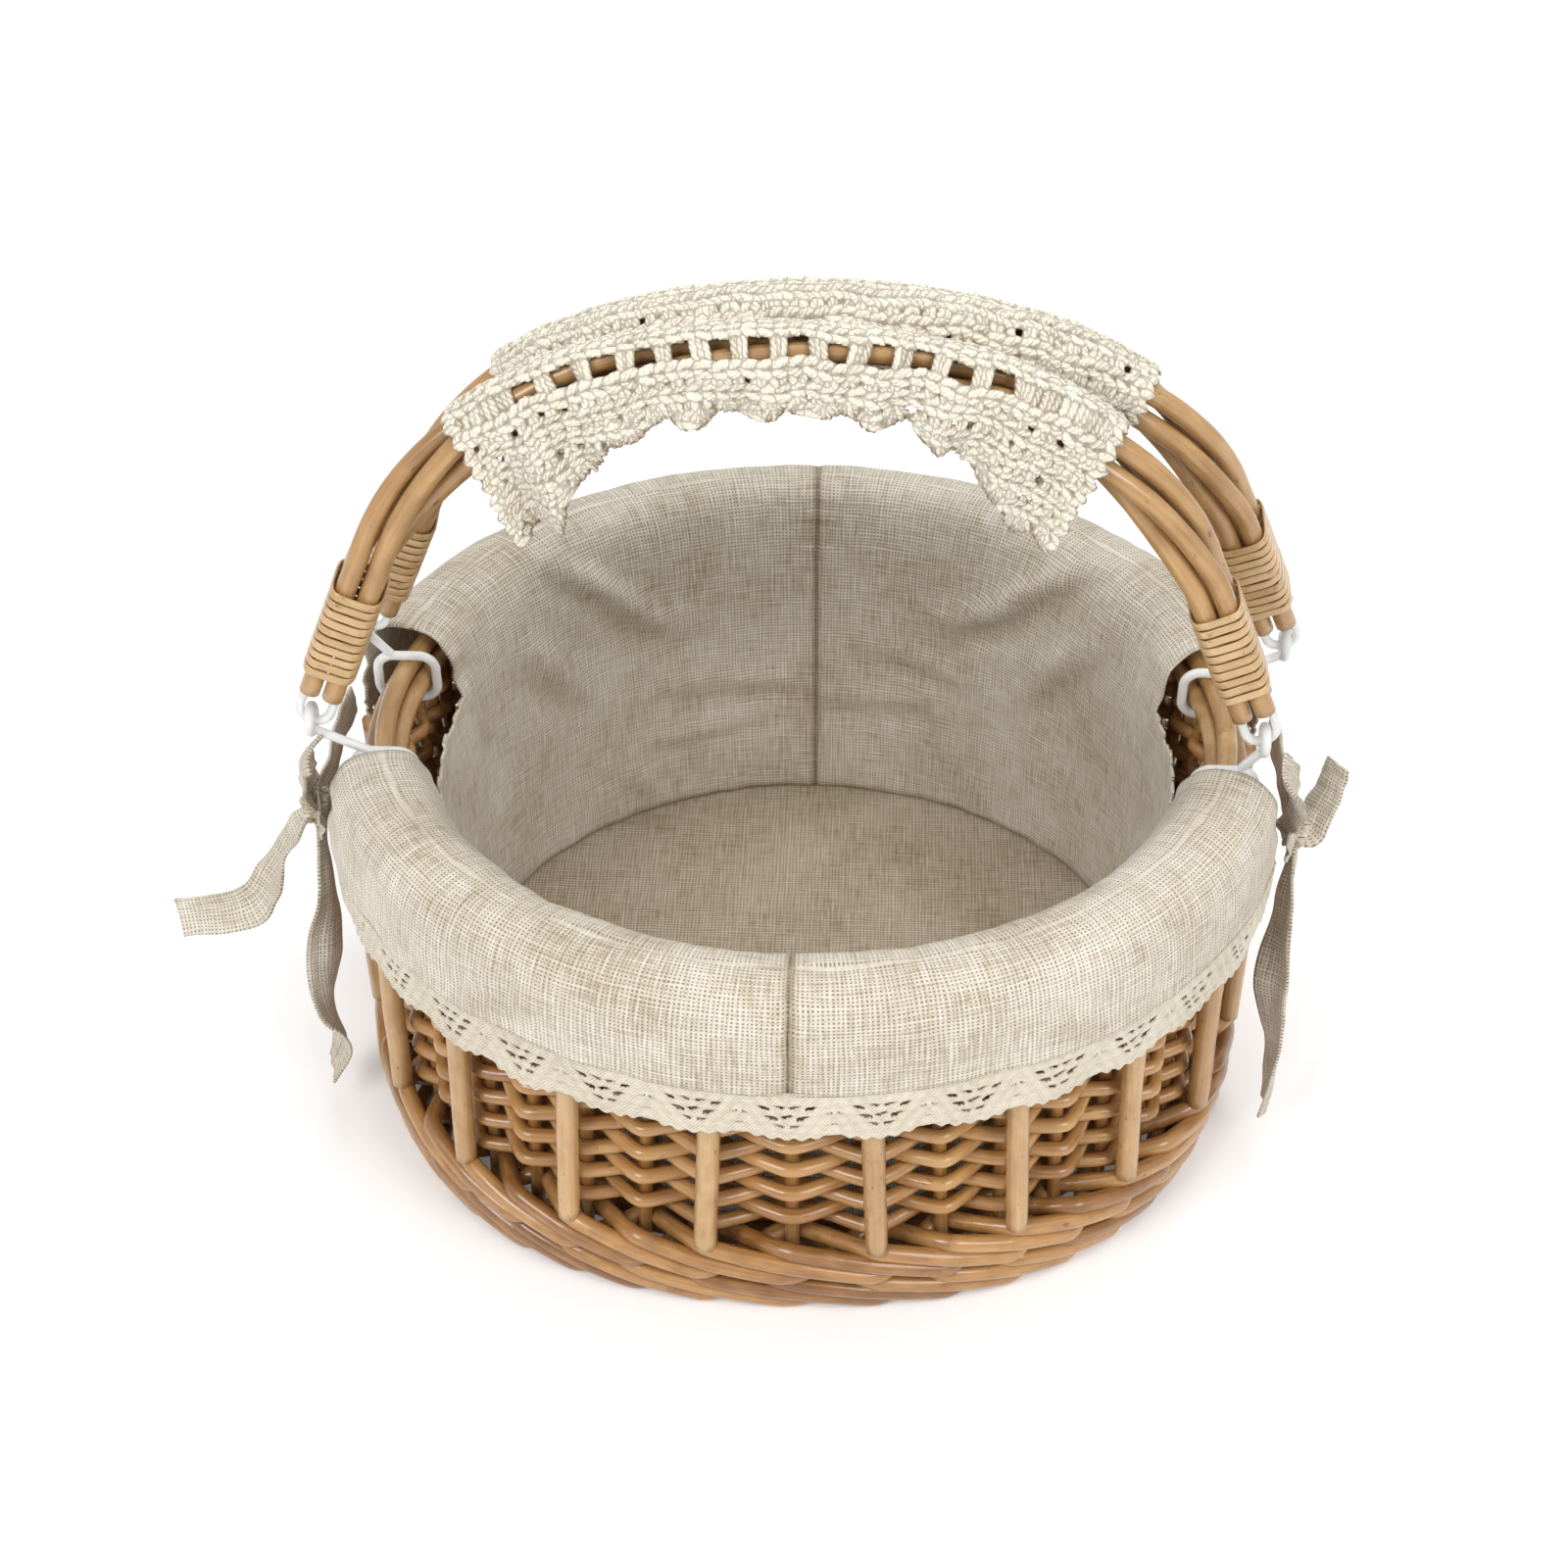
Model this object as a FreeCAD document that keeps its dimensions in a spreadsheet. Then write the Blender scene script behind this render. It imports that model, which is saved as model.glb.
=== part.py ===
"""Flower girl basket: an oval willow basket with two swinging handles, a linen liner and crochet sleeves.

Millimetres, +Z up. The origin is on the floor under the middle of the basket, +X runs towards the
right-hand hinges and -Y is the front. The body is stake-and-strand willow: forty stakes, seventeen woven
rows, a wale round the foot and a border round the rim. Each handle is four canes bound at both ends,
hung on clear rings that turn in clear straps looped round the border.
"""
import FreeCAD, Part
import math
import os

from FreeCAD import Matrix, Placement, Rotation, Vector

# ---------------------------------------------------------------- driving dimensions
SIZES = {
    # basket wall: semi-axes along X of the stakes' oval, at the floor and at rim height
    "foot_semi": 126.0,
    "rim_semi": 128.5,
    "rim_height": 130.0,
    "oval_ratio": 0.88,  # at the border: semi-axis along Y over semi-axis along X
    "foot_ratio": 0.912,  # the same at the floor
    "foot_power": 2.32,  # the oval is an ellipse at the border, of power 2, and squarer at the floor
    "stake_count": 40,
    "stake_dia": 4.4,
    "stake_top": 117.5,
    "weaver_dia": 4.6,
    "weaver_rows": 17,
    "weaver_first": 32.2,
    "weaver_last": 113.0,
    "upright_dia": 6.8,
    "upright_foot": 30.0,
    "upright_top": 122.0,
    "upright_short_top": 109.0,  # the four uprights that stand under a hinge
    "weave_gap": 0.3,
    # foot and base
    "wale_dia": 5.6,
    "wale_rise": 5.95,
    "wale_dip": 4.2,
    "foot_flat": 0.4,
    "split_stick_width": 6.8,
    "base_stick_dia": 4.8,
    "base_stick_gap": 24.0,
    "base_round_dia": 4.0,
    "base_rounds": 21,
    "border_dia": 6.2,
    "border_height": 122.0,
    # linen liner, with its flaps turned down over the border
    "cloth": 1.4,
    "liner_floor_height": 14.4,
    "cloth_ratio": 0.905,  # the cloth's own oval: it hangs a little freer at the sides
    "crest_semi": 132.0,
    "crest_height": 139.6,
    "flap_semi": 146.6,
    "flap_height": 105.0,
    "lace_height": 85.0,
    "lace_thick": 1.2,
    "notch_half": 30.0,
    "notch_height": 113.5,
    "flap_gap_half": 26.0,
    # hinges
    "hinge_reach": 141.0,
    "hinge_half": 23.0,
    "hinge_height": 145.0,
    "handle_shift": 5.0,  # the front handle sits this far left of the middle, the rear one this far right
    "ring_dia": 2.8,
    "ring_width": 9.4,
    "ring_height": 26.0,
    "strap_dia": 3.0,
    # handles
    "cane_dia": 6.4,
    "cane_gap": 0.4,
    "cane_end": 157.0,
    "bound_top": 192.0,
    "bound_lean": 19.0,
    "handle_top": 265.0,
    "top_half": 11.0,
    "binding_turns": 10,
    "binding_pitch": 3.0,
    "binding_turn": 2.7,
    "binding_thick": 1.2,
    # crochet sleeves
    "sleeve_thick": 2.0,
    "sleeve_reach": 91.0,
    "sleeve_drop": 7.0,
    "sleeve_corner_drop": 24.0,
    "sleeve_corner_long": 34.0,
    # linen ties
    "tie_width": 12.0,
    "tie_thick": 1.2,
    "knot_radius": 5.2,
}

doc = FreeCAD.newDocument("flower_girl_basket")
sheet = doc.addObject("Spreadsheet::Sheet", "sizes")
for row, (name, value) in enumerate(SIZES.items(), start=1):
    sheet.set(f"A{row}", name)
    sheet.set(f"B{row}", str(value))
    sheet.setAlias(f"B{row}", name)
doc.recompute()


def size(name):
    """A driving dimension, read back from the spreadsheet."""
    return float(sheet.get(name))


def count(name):
    return int(size(name))


parts = []


def keep(obj, label):
    """Marks a document object as a sub-part: its Label names its file."""
    obj.Label = label
    parts.append(obj)
    return obj


def feature(label, shape):
    """A sub-part whose shape neither PartDesign nor a Part primitive makes."""
    obj = doc.addObject("Part::Feature", label)
    obj.Shape = shape
    return keep(obj, label)


def compound(label, members):
    """Several identical solids kept as one sub-part, each still a solid of its own."""
    obj = doc.addObject("Part::Compound", label)
    obj.Links = members
    return keep(obj, label)


# ---------------------------------------------------------------- curves
def oval(semi, angle, offset=0.0, height=0.0):
    """Point at a parameter angle in degrees on the wall's oval, moved out by offset along its normal."""
    share = min(max(height / size("border_height"), 0.0), 1.0)
    ratio = size("foot_ratio") + (size("oval_ratio") - size("foot_ratio")) * share
    power = size("foot_power") + (2.0 - size("foot_power")) * share

    def signed_power(value, exponent):
        return math.copysign(abs(value) ** exponent, value)

    turn = math.radians(angle)
    x = signed_power(math.cos(turn), 2 / power)
    y = signed_power(math.sin(turn), 2 / power)
    normal = Vector(ratio * signed_power(x, power - 1), signed_power(y, power - 1), 0).normalize()
    return Vector(semi * x, ratio * semi * y, height) + normal * offset


def wall_semi(height):
    """Semi-axis along X of the stakes' oval at a height: the wall leans out a little."""
    lean = (size("rim_semi") - size("foot_semi")) / size("rim_height")
    return size("foot_semi") + lean * height


def rounded_path(points, share=0.4):
    """Straight runs joined by tangent arcs. An arc takes this share of the shorter run at its corner."""
    edges = []
    start = points[0]
    for before, corner, after in zip(points, points[1:], points[2:]):
        back = before - corner
        ahead = after - corner
        cut = share * min(back.Length, ahead.Length)
        back.normalize()
        ahead.normalize()
        if back.getAngle(ahead) > math.pi - 1e-3:
            continue
        enter = corner + back * cut
        leave = corner + ahead * cut
        half_turn = (math.pi - back.getAngle(ahead)) / 2
        radius = cut / math.tan(half_turn)
        bisector = (back + ahead).normalize()
        centre_gap = radius / math.cos(half_turn)
        middle = corner + bisector * (centre_gap - radius)
        edges.append(Part.LineSegment(start, enter).toShape())
        edges.append(Part.Arc(enter, middle, leave).toShape())
        start = leave
    edges.append(Part.LineSegment(start, points[-1]).toShape())
    return Part.Wire(edges)


def rod(points, radius, share=0.4):
    """A round rod along straight runs and tangent arcs, with cut ends."""
    path = rounded_path(points, share)
    ahead = points[1] - points[0]
    profile = Part.Face(Part.Wire(Part.makeCircle(radius, points[0], ahead)))
    return path.makePipe(profile)


def open_ring(corners, gap=0.6):
    """Points of a rod that goes once round through corners and ends just short of where it starts."""
    start = (corners[-1] + corners[0]) * 0.5
    away = (corners[-1] - corners[0]).normalize() * (gap / 2)
    return [start - away] + corners + [start + away]


def woven_ring(height, semi, outer, inner, radius, phase, period=2, share=0.18):
    """A rod woven round the stakes: at the inner offset on every period-th stake, else at the outer."""
    total = count("stake_count")
    corners = []
    for stake in range(total):
        inside = stake % period == phase
        corners.append(oval(semi, 360.0 * stake / total, inner if inside else outer, height))
    return rod(open_ring(corners), radius, share)


def plain_ring(height, semi, offset, radius, corners=36):
    """A rod laid round the oval without weaving."""
    points = [oval(semi, 360.0 * (i + 0.5) / corners, offset, height) for i in range(corners)]
    return rod(open_ring(points), radius, share=0.45)


def bound_cylinder(name, radius_cell, height_cell, placement):
    """A cylinder whose radius and height follow the spreadsheet."""
    obj = doc.addObject("Part::Cylinder", name)
    obj.setExpression("Radius", radius_cell)
    obj.setExpression("Height", height_cell)
    obj.Placement = placement
    return obj


def along(start, end):
    """Placement that puts a shape's origin at start and its Z axis towards end."""
    return Placement(start, Rotation(Vector(0, 0, 1), end - start))


# ---------------------------------------------------------------- base and foot
def build_base():
    """Crossed base sticks in two layers, with concentric rounds of willow laid on them.

    The lower layer is split willow, flat side down on the floor. Its middle stick passes over the origin.
    """
    semi = size("foot_semi") - 7.0
    short = semi * size("foot_ratio")
    flat_down = Rotation(Vector(0, 1, 0), Vector(0, 0, 1), Vector(1, 0, 0), "ZYX")
    sticks = []
    for index in range(-2, 3):
        side = index * size("base_stick_gap")
        reach = semi * math.sqrt(1 - (side / short) ** 2)
        split = doc.addObject("Part::Cylinder", "split_stick")
        split.setExpression("Radius", "sizes.split_stick_width / 2")
        split.Height = 2 * reach
        split.Angle = 180
        split.Placement = Placement(Vector(-reach, side, 0), flat_down)
        sticks.append(split)
    height = (size("split_stick_width") + size("base_stick_dia")) / 2 + 0.4
    for index in range(4):
        side = (index - 1.5) * size("base_stick_gap")
        reach = short * math.sqrt(1 - (side / semi) ** 2)
        stick = doc.addObject("Part::Cylinder", "base_stick")
        stick.setExpression("Radius", "sizes.base_stick_dia / 2")
        stick.Height = 2 * reach
        stick.Placement = along(Vector(side, -reach, height), Vector(side, reach, height))
        sticks.append(stick)
    compound("base_sticks", sticks)

    round_radius = size("base_round_dia") / 2
    height += size("base_stick_dia") / 2 + 0.4 + round_radius
    outermost = size("foot_semi") - size("stake_dia") - size("base_round_dia") / 2 - 1.2
    pitch = (size("base_round_dia") + size("weave_gap")) / size("oval_ratio")
    rounds = []
    for index in range(count("base_rounds")):
        semi = outermost - index * pitch
        rounds.append(plain_ring(height, semi, 0.0, round_radius, corners=12 + int(semi / 8)))
    feature("base_weave", Part.makeCompound(rounds))


def build_wale():
    """Five rods round the foot. The lowest carries the basket and is worn flat underneath.

    Each rod above it runs outside three stakes and dips towards every fourth.
    """
    radius = size("wale_dia") / 2
    nearest = size("stake_dia") / 2 + size("weave_gap") + radius
    flush = upright_offset() + size("upright_dia") / 2 - radius
    first = radius - size("foot_flat")
    foot = plain_ring(first, wall_semi(first), nearest + 1.4, radius)
    wide = 2 * size("rim_semi") + 60
    floor = Part.makeBox(wide, wide, 10, Vector(-wide / 2, -wide / 2, -10))
    feature("wale_foot_rod", foot.cut(floor))
    for index, tuck in enumerate((2.4, 0.8, 0.0, 0.0), start=1):
        height = first + index * size("wale_rise")
        outer = flush - tuck
        inner = max(outer - size("wale_dip"), nearest + 0.4)
        shape = woven_ring(height, wall_semi(height), outer, inner, radius, index % 4, period=4)
        feature(f"wale_rod_{index}", shape)


# ---------------------------------------------------------------- wall
def build_stakes():
    """Forty straight stakes, each leaning out with the wall."""
    total = count("stake_count")
    stakes = []
    for index in range(total):
        angle = 360.0 * index / total
        foot = oval(wall_semi(1.0), angle, 0.0, 1.0)
        head = oval(wall_semi(size("stake_top")), angle, 0.0, size("stake_top"))
        stake = bound_cylinder("stake", "sizes.stake_dia / 2", "sizes.stake_top - 1", along(foot, head))
        stakes.append(stake)
    compound("side_stakes", stakes)


def upright_offset():
    """How far an outer upright stands outside the stakes: past the weavers between them."""
    gap = size("weave_gap")
    return size("stake_dia") / 2 + gap + size("weaver_dia") + 3.9 * gap + size("upright_dia") / 2


def build_uprights():
    """Thick uprights outside every second stake. Those under a hinge stop short of the border."""
    total = count("stake_count")
    uprights = []
    for index in range(1, total, 2):
        angle = 360.0 * index / total
        under_hinge = abs(math.cos(math.radians(angle))) > math.cos(math.radians(1.5 * 360.0 / total))
        low = size("upright_foot")
        high = size("upright_short_top") if under_hinge else size("upright_top")
        foot = oval(wall_semi(low), angle, upright_offset(), low)
        head = oval(wall_semi(high), angle, upright_offset(), high)
        top_cell = "upright_short_top" if under_hinge else "upright_top"
        height = f"sizes.{top_cell} - sizes.upright_foot"
        uprights.append(bound_cylinder("upright", "sizes.upright_dia / 2", height, along(foot, head)))
    compound("outer_uprights", uprights)


def build_weavers():
    """Rows of randing: each passes outside one stake and inside the next, and the rows alternate."""
    rows = count("weaver_rows")
    pitch = (size("weaver_last") - size("weaver_first")) / (rows - 1)
    corner_cut = 1.95  # the rounded corner runs this much nearer the stake than the corner itself
    swing = size("stake_dia") / 2 + size("weave_gap") + size("weaver_dia") / 2 + corner_cut
    for row in range(rows):
        height = size("weaver_first") + row * pitch
        shape = woven_ring(height, wall_semi(height), swing, -swing, size("weaver_dia") / 2, row % 2)
        feature(f"weaver_row_{row + 1:02d}", shape)


def build_border():
    """Three rods round the rim that stand for the stakes' turned-down ends."""
    radius = size("border_dia") / 2
    side = radius + size("weave_gap")
    low = size("border_height")
    high = low + 1.8 * radius + size("weave_gap")
    semi = wall_semi(low)
    feature("border_inner_rod", plain_ring(low, semi, -side, radius))
    feature("border_outer_rod", plain_ring(low, semi, side, radius))
    feature("border_top_rod", plain_ring(high, semi, 0.0, radius))
    return high + radius


# ---------------------------------------------------------------- liner
def squeezed(shape):
    """A turned shape squeezed along Y from round to the cloth's oval."""
    matrix = Matrix()
    matrix.scale(Vector(1, size("cloth_ratio"), 1))
    return shape.transformGeometry(matrix)


def turned(profile, start, sweep):
    """A profile face in the XZ plane turned about Z from a start angle, then squeezed to the oval."""
    face = profile.copy()
    face.rotate(Vector(), Vector(0, 0, 1), start)
    return squeezed(face.revolve(Vector(), Vector(0, 0, 1), sweep))


def strip_profile(points, thick, share=0.45):
    """A strip of cloth seen end on: a rounded line of points, thickened by an offset to its left."""
    outer = rounded_path([Vector(r, 0, z) for r, z in points], share)
    moved = []
    for index, (r, z) in enumerate(points):
        before = points[max(index - 1, 0)]
        after = points[min(index + 1, len(points) - 1)]
        run = Vector(after[0] - before[0], 0, after[1] - before[1]).normalize()
        moved.append(Vector(r + run.z * thick, 0, z - run.x * thick))
    inner = rounded_path(moved, share)
    foot = Part.LineSegment(inner.OrderedVertexes[0].Point, outer.OrderedVertexes[0].Point).toShape()
    head = Part.LineSegment(outer.OrderedVertexes[-1].Point, inner.OrderedVertexes[-1].Point).toShape()
    return Part.Face(Part.Wire([foot] + outer.Edges + [head] + list(reversed(inner.Edges))))


def lining_semi(height):
    """Semi-axis along X of the lining at a height: it just clears the weavers at the front and back."""
    clear = size("stake_dia") / 2 + size("weave_gap") + size("weaver_dia") + 1.1
    return (size("oval_ratio") * wall_semi(height) - clear) / size("cloth_ratio") - size("cloth")


def liner_profile():
    """Inside face of the liner from the floor up the wall, over the border and down the outside."""
    floor = size("liner_floor_height")
    low = lining_semi(floor)
    high = lining_semi(114.0)
    crest = size("crest_semi")
    top = size("crest_height")
    flap = size("flap_semi")
    return [
        (low, floor + size("cloth") + 0.4),
        (high, 114.0),
        (high + 1.6, 129.0),
        (crest - 7.0, top - 1.0),
        (crest + 5.0, top),
        (flap - 2.0, 131.0),
        (flap - 0.4, 119.0),
        (flap, size("flap_height")),
    ]


def build_liner():
    """Floor disc and two side panels, seamed at the front and back, with notches for the hinges."""
    ellipse = doc.addObject("Part::Ellipse", "floor_outline")
    ellipse.MajorRadius = lining_semi(size("liner_floor_height")) - 0.2
    ellipse.MinorRadius = size("cloth_ratio") * ellipse.MajorRadius.Value
    ellipse.Placement.Base = Vector(0, 0, size("liner_floor_height"))
    floor = doc.addObject("Part::Extrusion", "liner_floor")
    floor.Base = ellipse
    floor.Dir = Vector(0, 0, 1)
    floor.DirMode = "Custom"
    floor.setExpression("LengthFwd", "sizes.cloth")
    floor.Solid = True
    keep(floor, "liner_floor")

    profile = strip_profile(liner_profile(), size("cloth"))
    notch = size("notch_half")
    notch_floor = size("notch_height")
    slit = size("flap_gap_half")
    for label, start, side in (("liner_right_panel", -90, 1), ("liner_left_panel", 90, -1)):
        panel = turned(profile, start, 180)
        inner_cut = Part.makeBox(100, 2 * notch, 60, Vector(0, -notch, notch_floor))
        inner_cut.translate(Vector(90 if side > 0 else -190, 0, 0))
        outer_cut = Part.makeBox(60, 2 * slit, 120, Vector(0, -slit, 60))
        outer_cut.translate(Vector(130 if side > 0 else -190, 0, 0))
        feature(label, panel.cut(Part.makeCompound([inner_cut, outer_cut])))


def build_lace():
    """A lace strip along the lower edge of each flap."""
    high = size("flap_height")
    low = size("lace_height")
    edge = liner_profile()[-1][0]
    thick = size("lace_thick")
    high -= 0.3
    corners = [Vector(edge, 0, high), Vector(edge - 0.8, 0, low), Vector(edge - 0.8 - thick, 0, low),
               Vector(edge - thick, 0, high)]
    profile = Part.Face(Part.makePolygon(corners + corners[:1]))
    slit = size("flap_gap_half")
    for label, start in (("lace_rear", 0), ("lace_front", 180)):
        band = turned(profile, start, 180)
        gap = Part.makeBox(400, 2 * slit, 60, Vector(-200, -slit, low - 10))
        feature(label, band.cut(gap))


# ---------------------------------------------------------------- hinges
def closed_loop(width, height, bend, radius):
    """A closed loop of round cord, upright in XZ and centred on the origin, with four rounded corners."""
    right = width / 2
    top = height / 2
    quarter = bend * (1 - math.sqrt(0.5))
    halves = []
    for side in (1, -1):
        points = [
            Vector(0, 0, -top),
            Vector(side * (right - bend), 0, -top),
            Vector(side * (right - quarter), 0, -top + quarter),
            Vector(side * right, 0, -top + bend),
            Vector(side * right, 0, top - bend),
            Vector(side * (right - quarter), 0, top - quarter),
            Vector(side * (right - bend), 0, top),
            Vector(0, 0, top),
        ]
        path = Part.Wire([
            Part.LineSegment(points[0], points[1]).toShape(),
            Part.Arc(*points[1:4]).toShape(),
            Part.LineSegment(points[3], points[4]).toShape(),
            Part.Arc(*points[4:7]).toShape(),
            Part.LineSegment(points[6], points[7]).toShape(),
        ])
        profile = Part.Face(Part.Wire(Part.makeCircle(radius, points[0], Vector(1, 0, 0))))
        halves.append(path.makePipe(profile))
    return halves[0].fuse(halves[1]).removeSplitter()


def hinge_places():
    """Name, side along X and pivot of each of the four hinges."""
    for word, depth in (("front", -1), ("rear", 1)):
        for name, side in (("left", -1), ("right", 1)):
            x = side * size("hinge_reach") + depth * size("handle_shift")
            yield f"{name}_{word}", side, Vector(x, depth * size("hinge_half"), size("hinge_height"))


def build_straps(border_top):
    """Each strap is a loop round the border, a short stem and an eye for the handle's ring."""
    radius = size("strap_dia") / 2
    border = size("border_dia") / 2
    gap = size("weave_gap") + 0.25
    semi = wall_semi(size("border_height"))
    turn = math.degrees(math.asin(size("hinge_half") / (semi * size("oval_ratio"))))
    middle = oval(semi, turn, 0.0, size("border_height")).x
    bend = border + gap + radius
    half_wide = 1.06 * (border + size("weave_gap")) + bend + 0.3
    low = size("border_height") - bend
    high = border_top + gap + radius
    for word, side, pivot in hinge_places():
        loop = closed_loop(2 * half_wide, high - low, bend, radius)
        loop.translate(Vector(side * middle, pivot.y, (low + high) / 2))
        eye_radius = size("ring_dia") / 2 + 1.0 + radius
        eye = Part.makeTorus(eye_radius, radius, pivot, Vector(1, 0, 0))
        stem_foot = Vector(side * (middle + half_wide - bend), pivot.y, high)
        stem = rod([stem_foot, pivot - Vector(0, 0, eye_radius)], radius * 0.95)
        feature(f"hinge_strap_{word}", loop.fuse([eye, stem]).removeSplitter())


# ---------------------------------------------------------------- handles
def bound_direction():
    """Direction of the right end of a handle where it is bound: up, and leaning in."""
    return Vector(-size("bound_lean"), 0, size("bound_top") - size("hinge_height")).normalize()


def arch_point(share):
    """Point and direction of the handle's centre line, from the right end (0) to the left end (1).

    It lies in the XZ plane: a straight bound length at each end and a cubic curve between them.
    """
    rise = bound_direction()
    pivot = Vector(size("hinge_reach"), 0, size("hinge_height"))
    low = pivot + rise * ((size("cane_end") - pivot.z) / rise.z)
    high = pivot + rise * ((size("bound_top") - pivot.z) / rise.z)
    top = Vector(0, 0, size("handle_top"))
    mirrored = share > 0.5
    local = min(share, 1 - share) * 2
    straight = 0.2
    if local <= straight:
        point = low + (high - low) * (local / straight)
        direction = rise
    else:
        t = (local - straight) / (1 - straight)
        ends = [high, high + rise * 46.0, top + Vector(68.0, 0, 0), top]
        weights = [(1 - t) ** 3, 3 * t * (1 - t) ** 2, 3 * t * t * (1 - t), t ** 3]
        point = sum((p * w for p, w in zip(ends, weights)), Vector())
        slopes = [3 * (1 - t) ** 2, 6 * t * (1 - t), 3 * t * t]
        direction = sum(((b - a) * w for a, b, w in zip(ends, ends[1:], slopes)), Vector()).normalize()
    if mirrored:
        point = Vector(-point.x, 0, point.z)
        direction = Vector(direction.x, 0, -direction.z)
    return point, direction


def cane_shape(corner):
    """One cane of a handle. The four twist once round each other between the bindings."""
    side = (size("cane_dia") + size("cane_gap")) / 2
    ring_room = size("ring_dia") / 2 + 0.5 + size("cane_dia") / 2
    sign_in, sign_depth = corner
    samples = 36
    points = []
    for index in range(samples + 1):
        share = index / samples
        point, direction = arch_point(share)
        edge = 0.125
        free = min(max((share - edge) / (1 - 2 * edge), 0.0), 1.0)
        in_middle = min(1.0, 8 * min(free, 1 - free))
        depth = ring_room + (side - ring_room) * in_middle
        turn = 2 * math.pi * free
        across = Vector(-direction.z, 0, direction.x)
        a = sign_in * side
        b = sign_depth * depth
        swung = across * (a * math.cos(turn) - b * math.sin(turn))
        points.append(point + swung + Vector(0, a * math.sin(turn) + b * math.cos(turn), 0))
    straight_ends = [points[0]] + points[4:-4] + [points[-1]]
    return rod(straight_ends, size("cane_dia") / 2, share=0.45)


def binding_turn():
    """One turn of the binding: a rounded rectangular ring round the four canes, upright along Z."""
    inner_x = size("cane_dia") + size("cane_gap") / 2 + 0.3
    inner_y = size("ring_dia") / 2 + 0.5 + size("cane_dia") + 0.3
    thick = size("binding_thick")
    height = size("binding_turn")

    def block(half_x, half_y, corner):
        box = Part.makeBox(2 * half_x, 2 * half_y, height, Vector(-half_x, -half_y, 0))
        upright = [e for e in box.Edges if abs(e.tangentAt(0).z) > 0.9]
        return box.makeFillet(corner, upright)

    return block(inner_x + thick, inner_y + thick, 3.6).cut(block(inner_x, inner_y, 2.3))


def sleeve_shape():
    """A crochet sleeve as a plain saddle over its handle, with a longer corner at each end of each side."""
    inner = size("cane_dia") + size("cane_gap") + 1.7
    outer = inner + size("sleeve_thick")
    drop = size("sleeve_drop")
    samples = 40
    points = []
    for index in range(samples + 1):
        point, _ = arch_point(index / samples)
        if abs(point.x) <= size("sleeve_reach"):
            points.append(point)
    start, direction = points[0], (points[1] - points[0]).normalize()
    up = Vector(-direction.z, 0, direction.x)
    if up.z < 0:
        up = up * -1

    def at(y, z):
        return start + Vector(0, y, 0) + up * z

    outline = Part.Wire([
        Part.LineSegment(at(outer, -drop), at(outer, 0)).toShape(),
        Part.Arc(at(outer, 0), at(0, outer), at(-outer, 0)).toShape(),
        Part.LineSegment(at(-outer, 0), at(-outer, -drop)).toShape(),
        Part.LineSegment(at(-outer, -drop), at(-inner, -drop)).toShape(),
        Part.LineSegment(at(-inner, -drop), at(-inner, 0)).toShape(),
        Part.Arc(at(-inner, 0), at(0, inner), at(inner, 0)).toShape(),
        Part.LineSegment(at(inner, 0), at(inner, -drop)).toShape(),
        Part.LineSegment(at(inner, -drop), at(outer, -drop)).toShape(),
    ])
    saddle = rounded_path(points, 0.45).makePipe(Part.Face(outline))
    corners = []
    for end in (-1, 1):
        edge = end * size("sleeve_reach")
        near = [p for p in points if p.x * end > 0]
        tip = max(near, key=lambda p: p.x * end)
        back = min(near, key=lambda p: abs(abs(p.x) - abs(edge) + size("sleeve_corner_long")))
        low = Vector((tip.x * 0.45 + back.x * 0.55), 0, back.z - size("sleeve_corner_drop"))
        for y in (-outer, inner):
            flat = [Vector(p.x, y, p.z - 1.5) for p in (tip, back)] + [Vector(low.x, y, low.z)]
            corners.append(Part.Face(Part.makePolygon(flat + flat[:1])).extrude(Vector(0, outer - inner, 0)))
    return saddle.fuse(corners).removeSplitter()


def build_handles():
    """Both handles: canes, bindings, rings and sleeve, leaned together until their tops nearly meet."""
    height = size("hinge_height")
    lean = math.degrees(math.atan((size("hinge_half") - size("top_half")) / (size("handle_top") - height)))
    foot, _ = arch_point(0.0)
    rise = bound_direction()
    turn = binding_turn()
    length = count("binding_turns") * size("binding_pitch")
    first = (size("bound_top") - size("cane_end")) / rise.z - length + 1.0
    for word, depth in (("front", -1), ("rear", 1)):
        middle = Vector(depth * size("handle_shift"), depth * size("hinge_half"), 0)
        tilt = Placement(Vector(), Rotation(Vector(1, 0, 0), depth * lean), Vector(0, 0, height))
        place = Placement(middle, Rotation()).multiply(tilt)
        members = {}
        for index, corner in enumerate(((1, -1), (-1, -1), (-1, 1), (1, 1)), start=1):
            members[f"cane_{index}"] = cane_shape(corner)
        rings = []
        for side, name in ((1, "right"), (-1, "left")):
            axis = Vector(side * rise.x, 0, rise.z)
            leaned = Rotation(Vector(0, 0, 1), axis)
            turns = []
            for index in range(count("binding_turns")):
                wound = turn.copy()
                start = Vector(side * foot.x, 0, foot.z) + axis * (first + index * size("binding_pitch"))
                wound.Placement = Placement(start, leaned)
                turns.append(wound)
            members[f"binding_{name}"] = Part.makeCompound(turns)
            ring = closed_loop(size("ring_width"), size("ring_height"), size("ring_width") / 2 - 0.4,
                               size("ring_dia") / 2)
            pivot = Vector(side * size("hinge_reach"), 0, height)
            ring.Placement = Placement(pivot + axis * (size("ring_height") / 2), leaned)
            rings.append(ring)
        members["hinge_rings"] = Part.makeCompound(rings)
        members["crochet_sleeve"] = sleeve_shape()
        for name, shape in members.items():
            feature(f"{word}_{name}", shape).Placement = place


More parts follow.
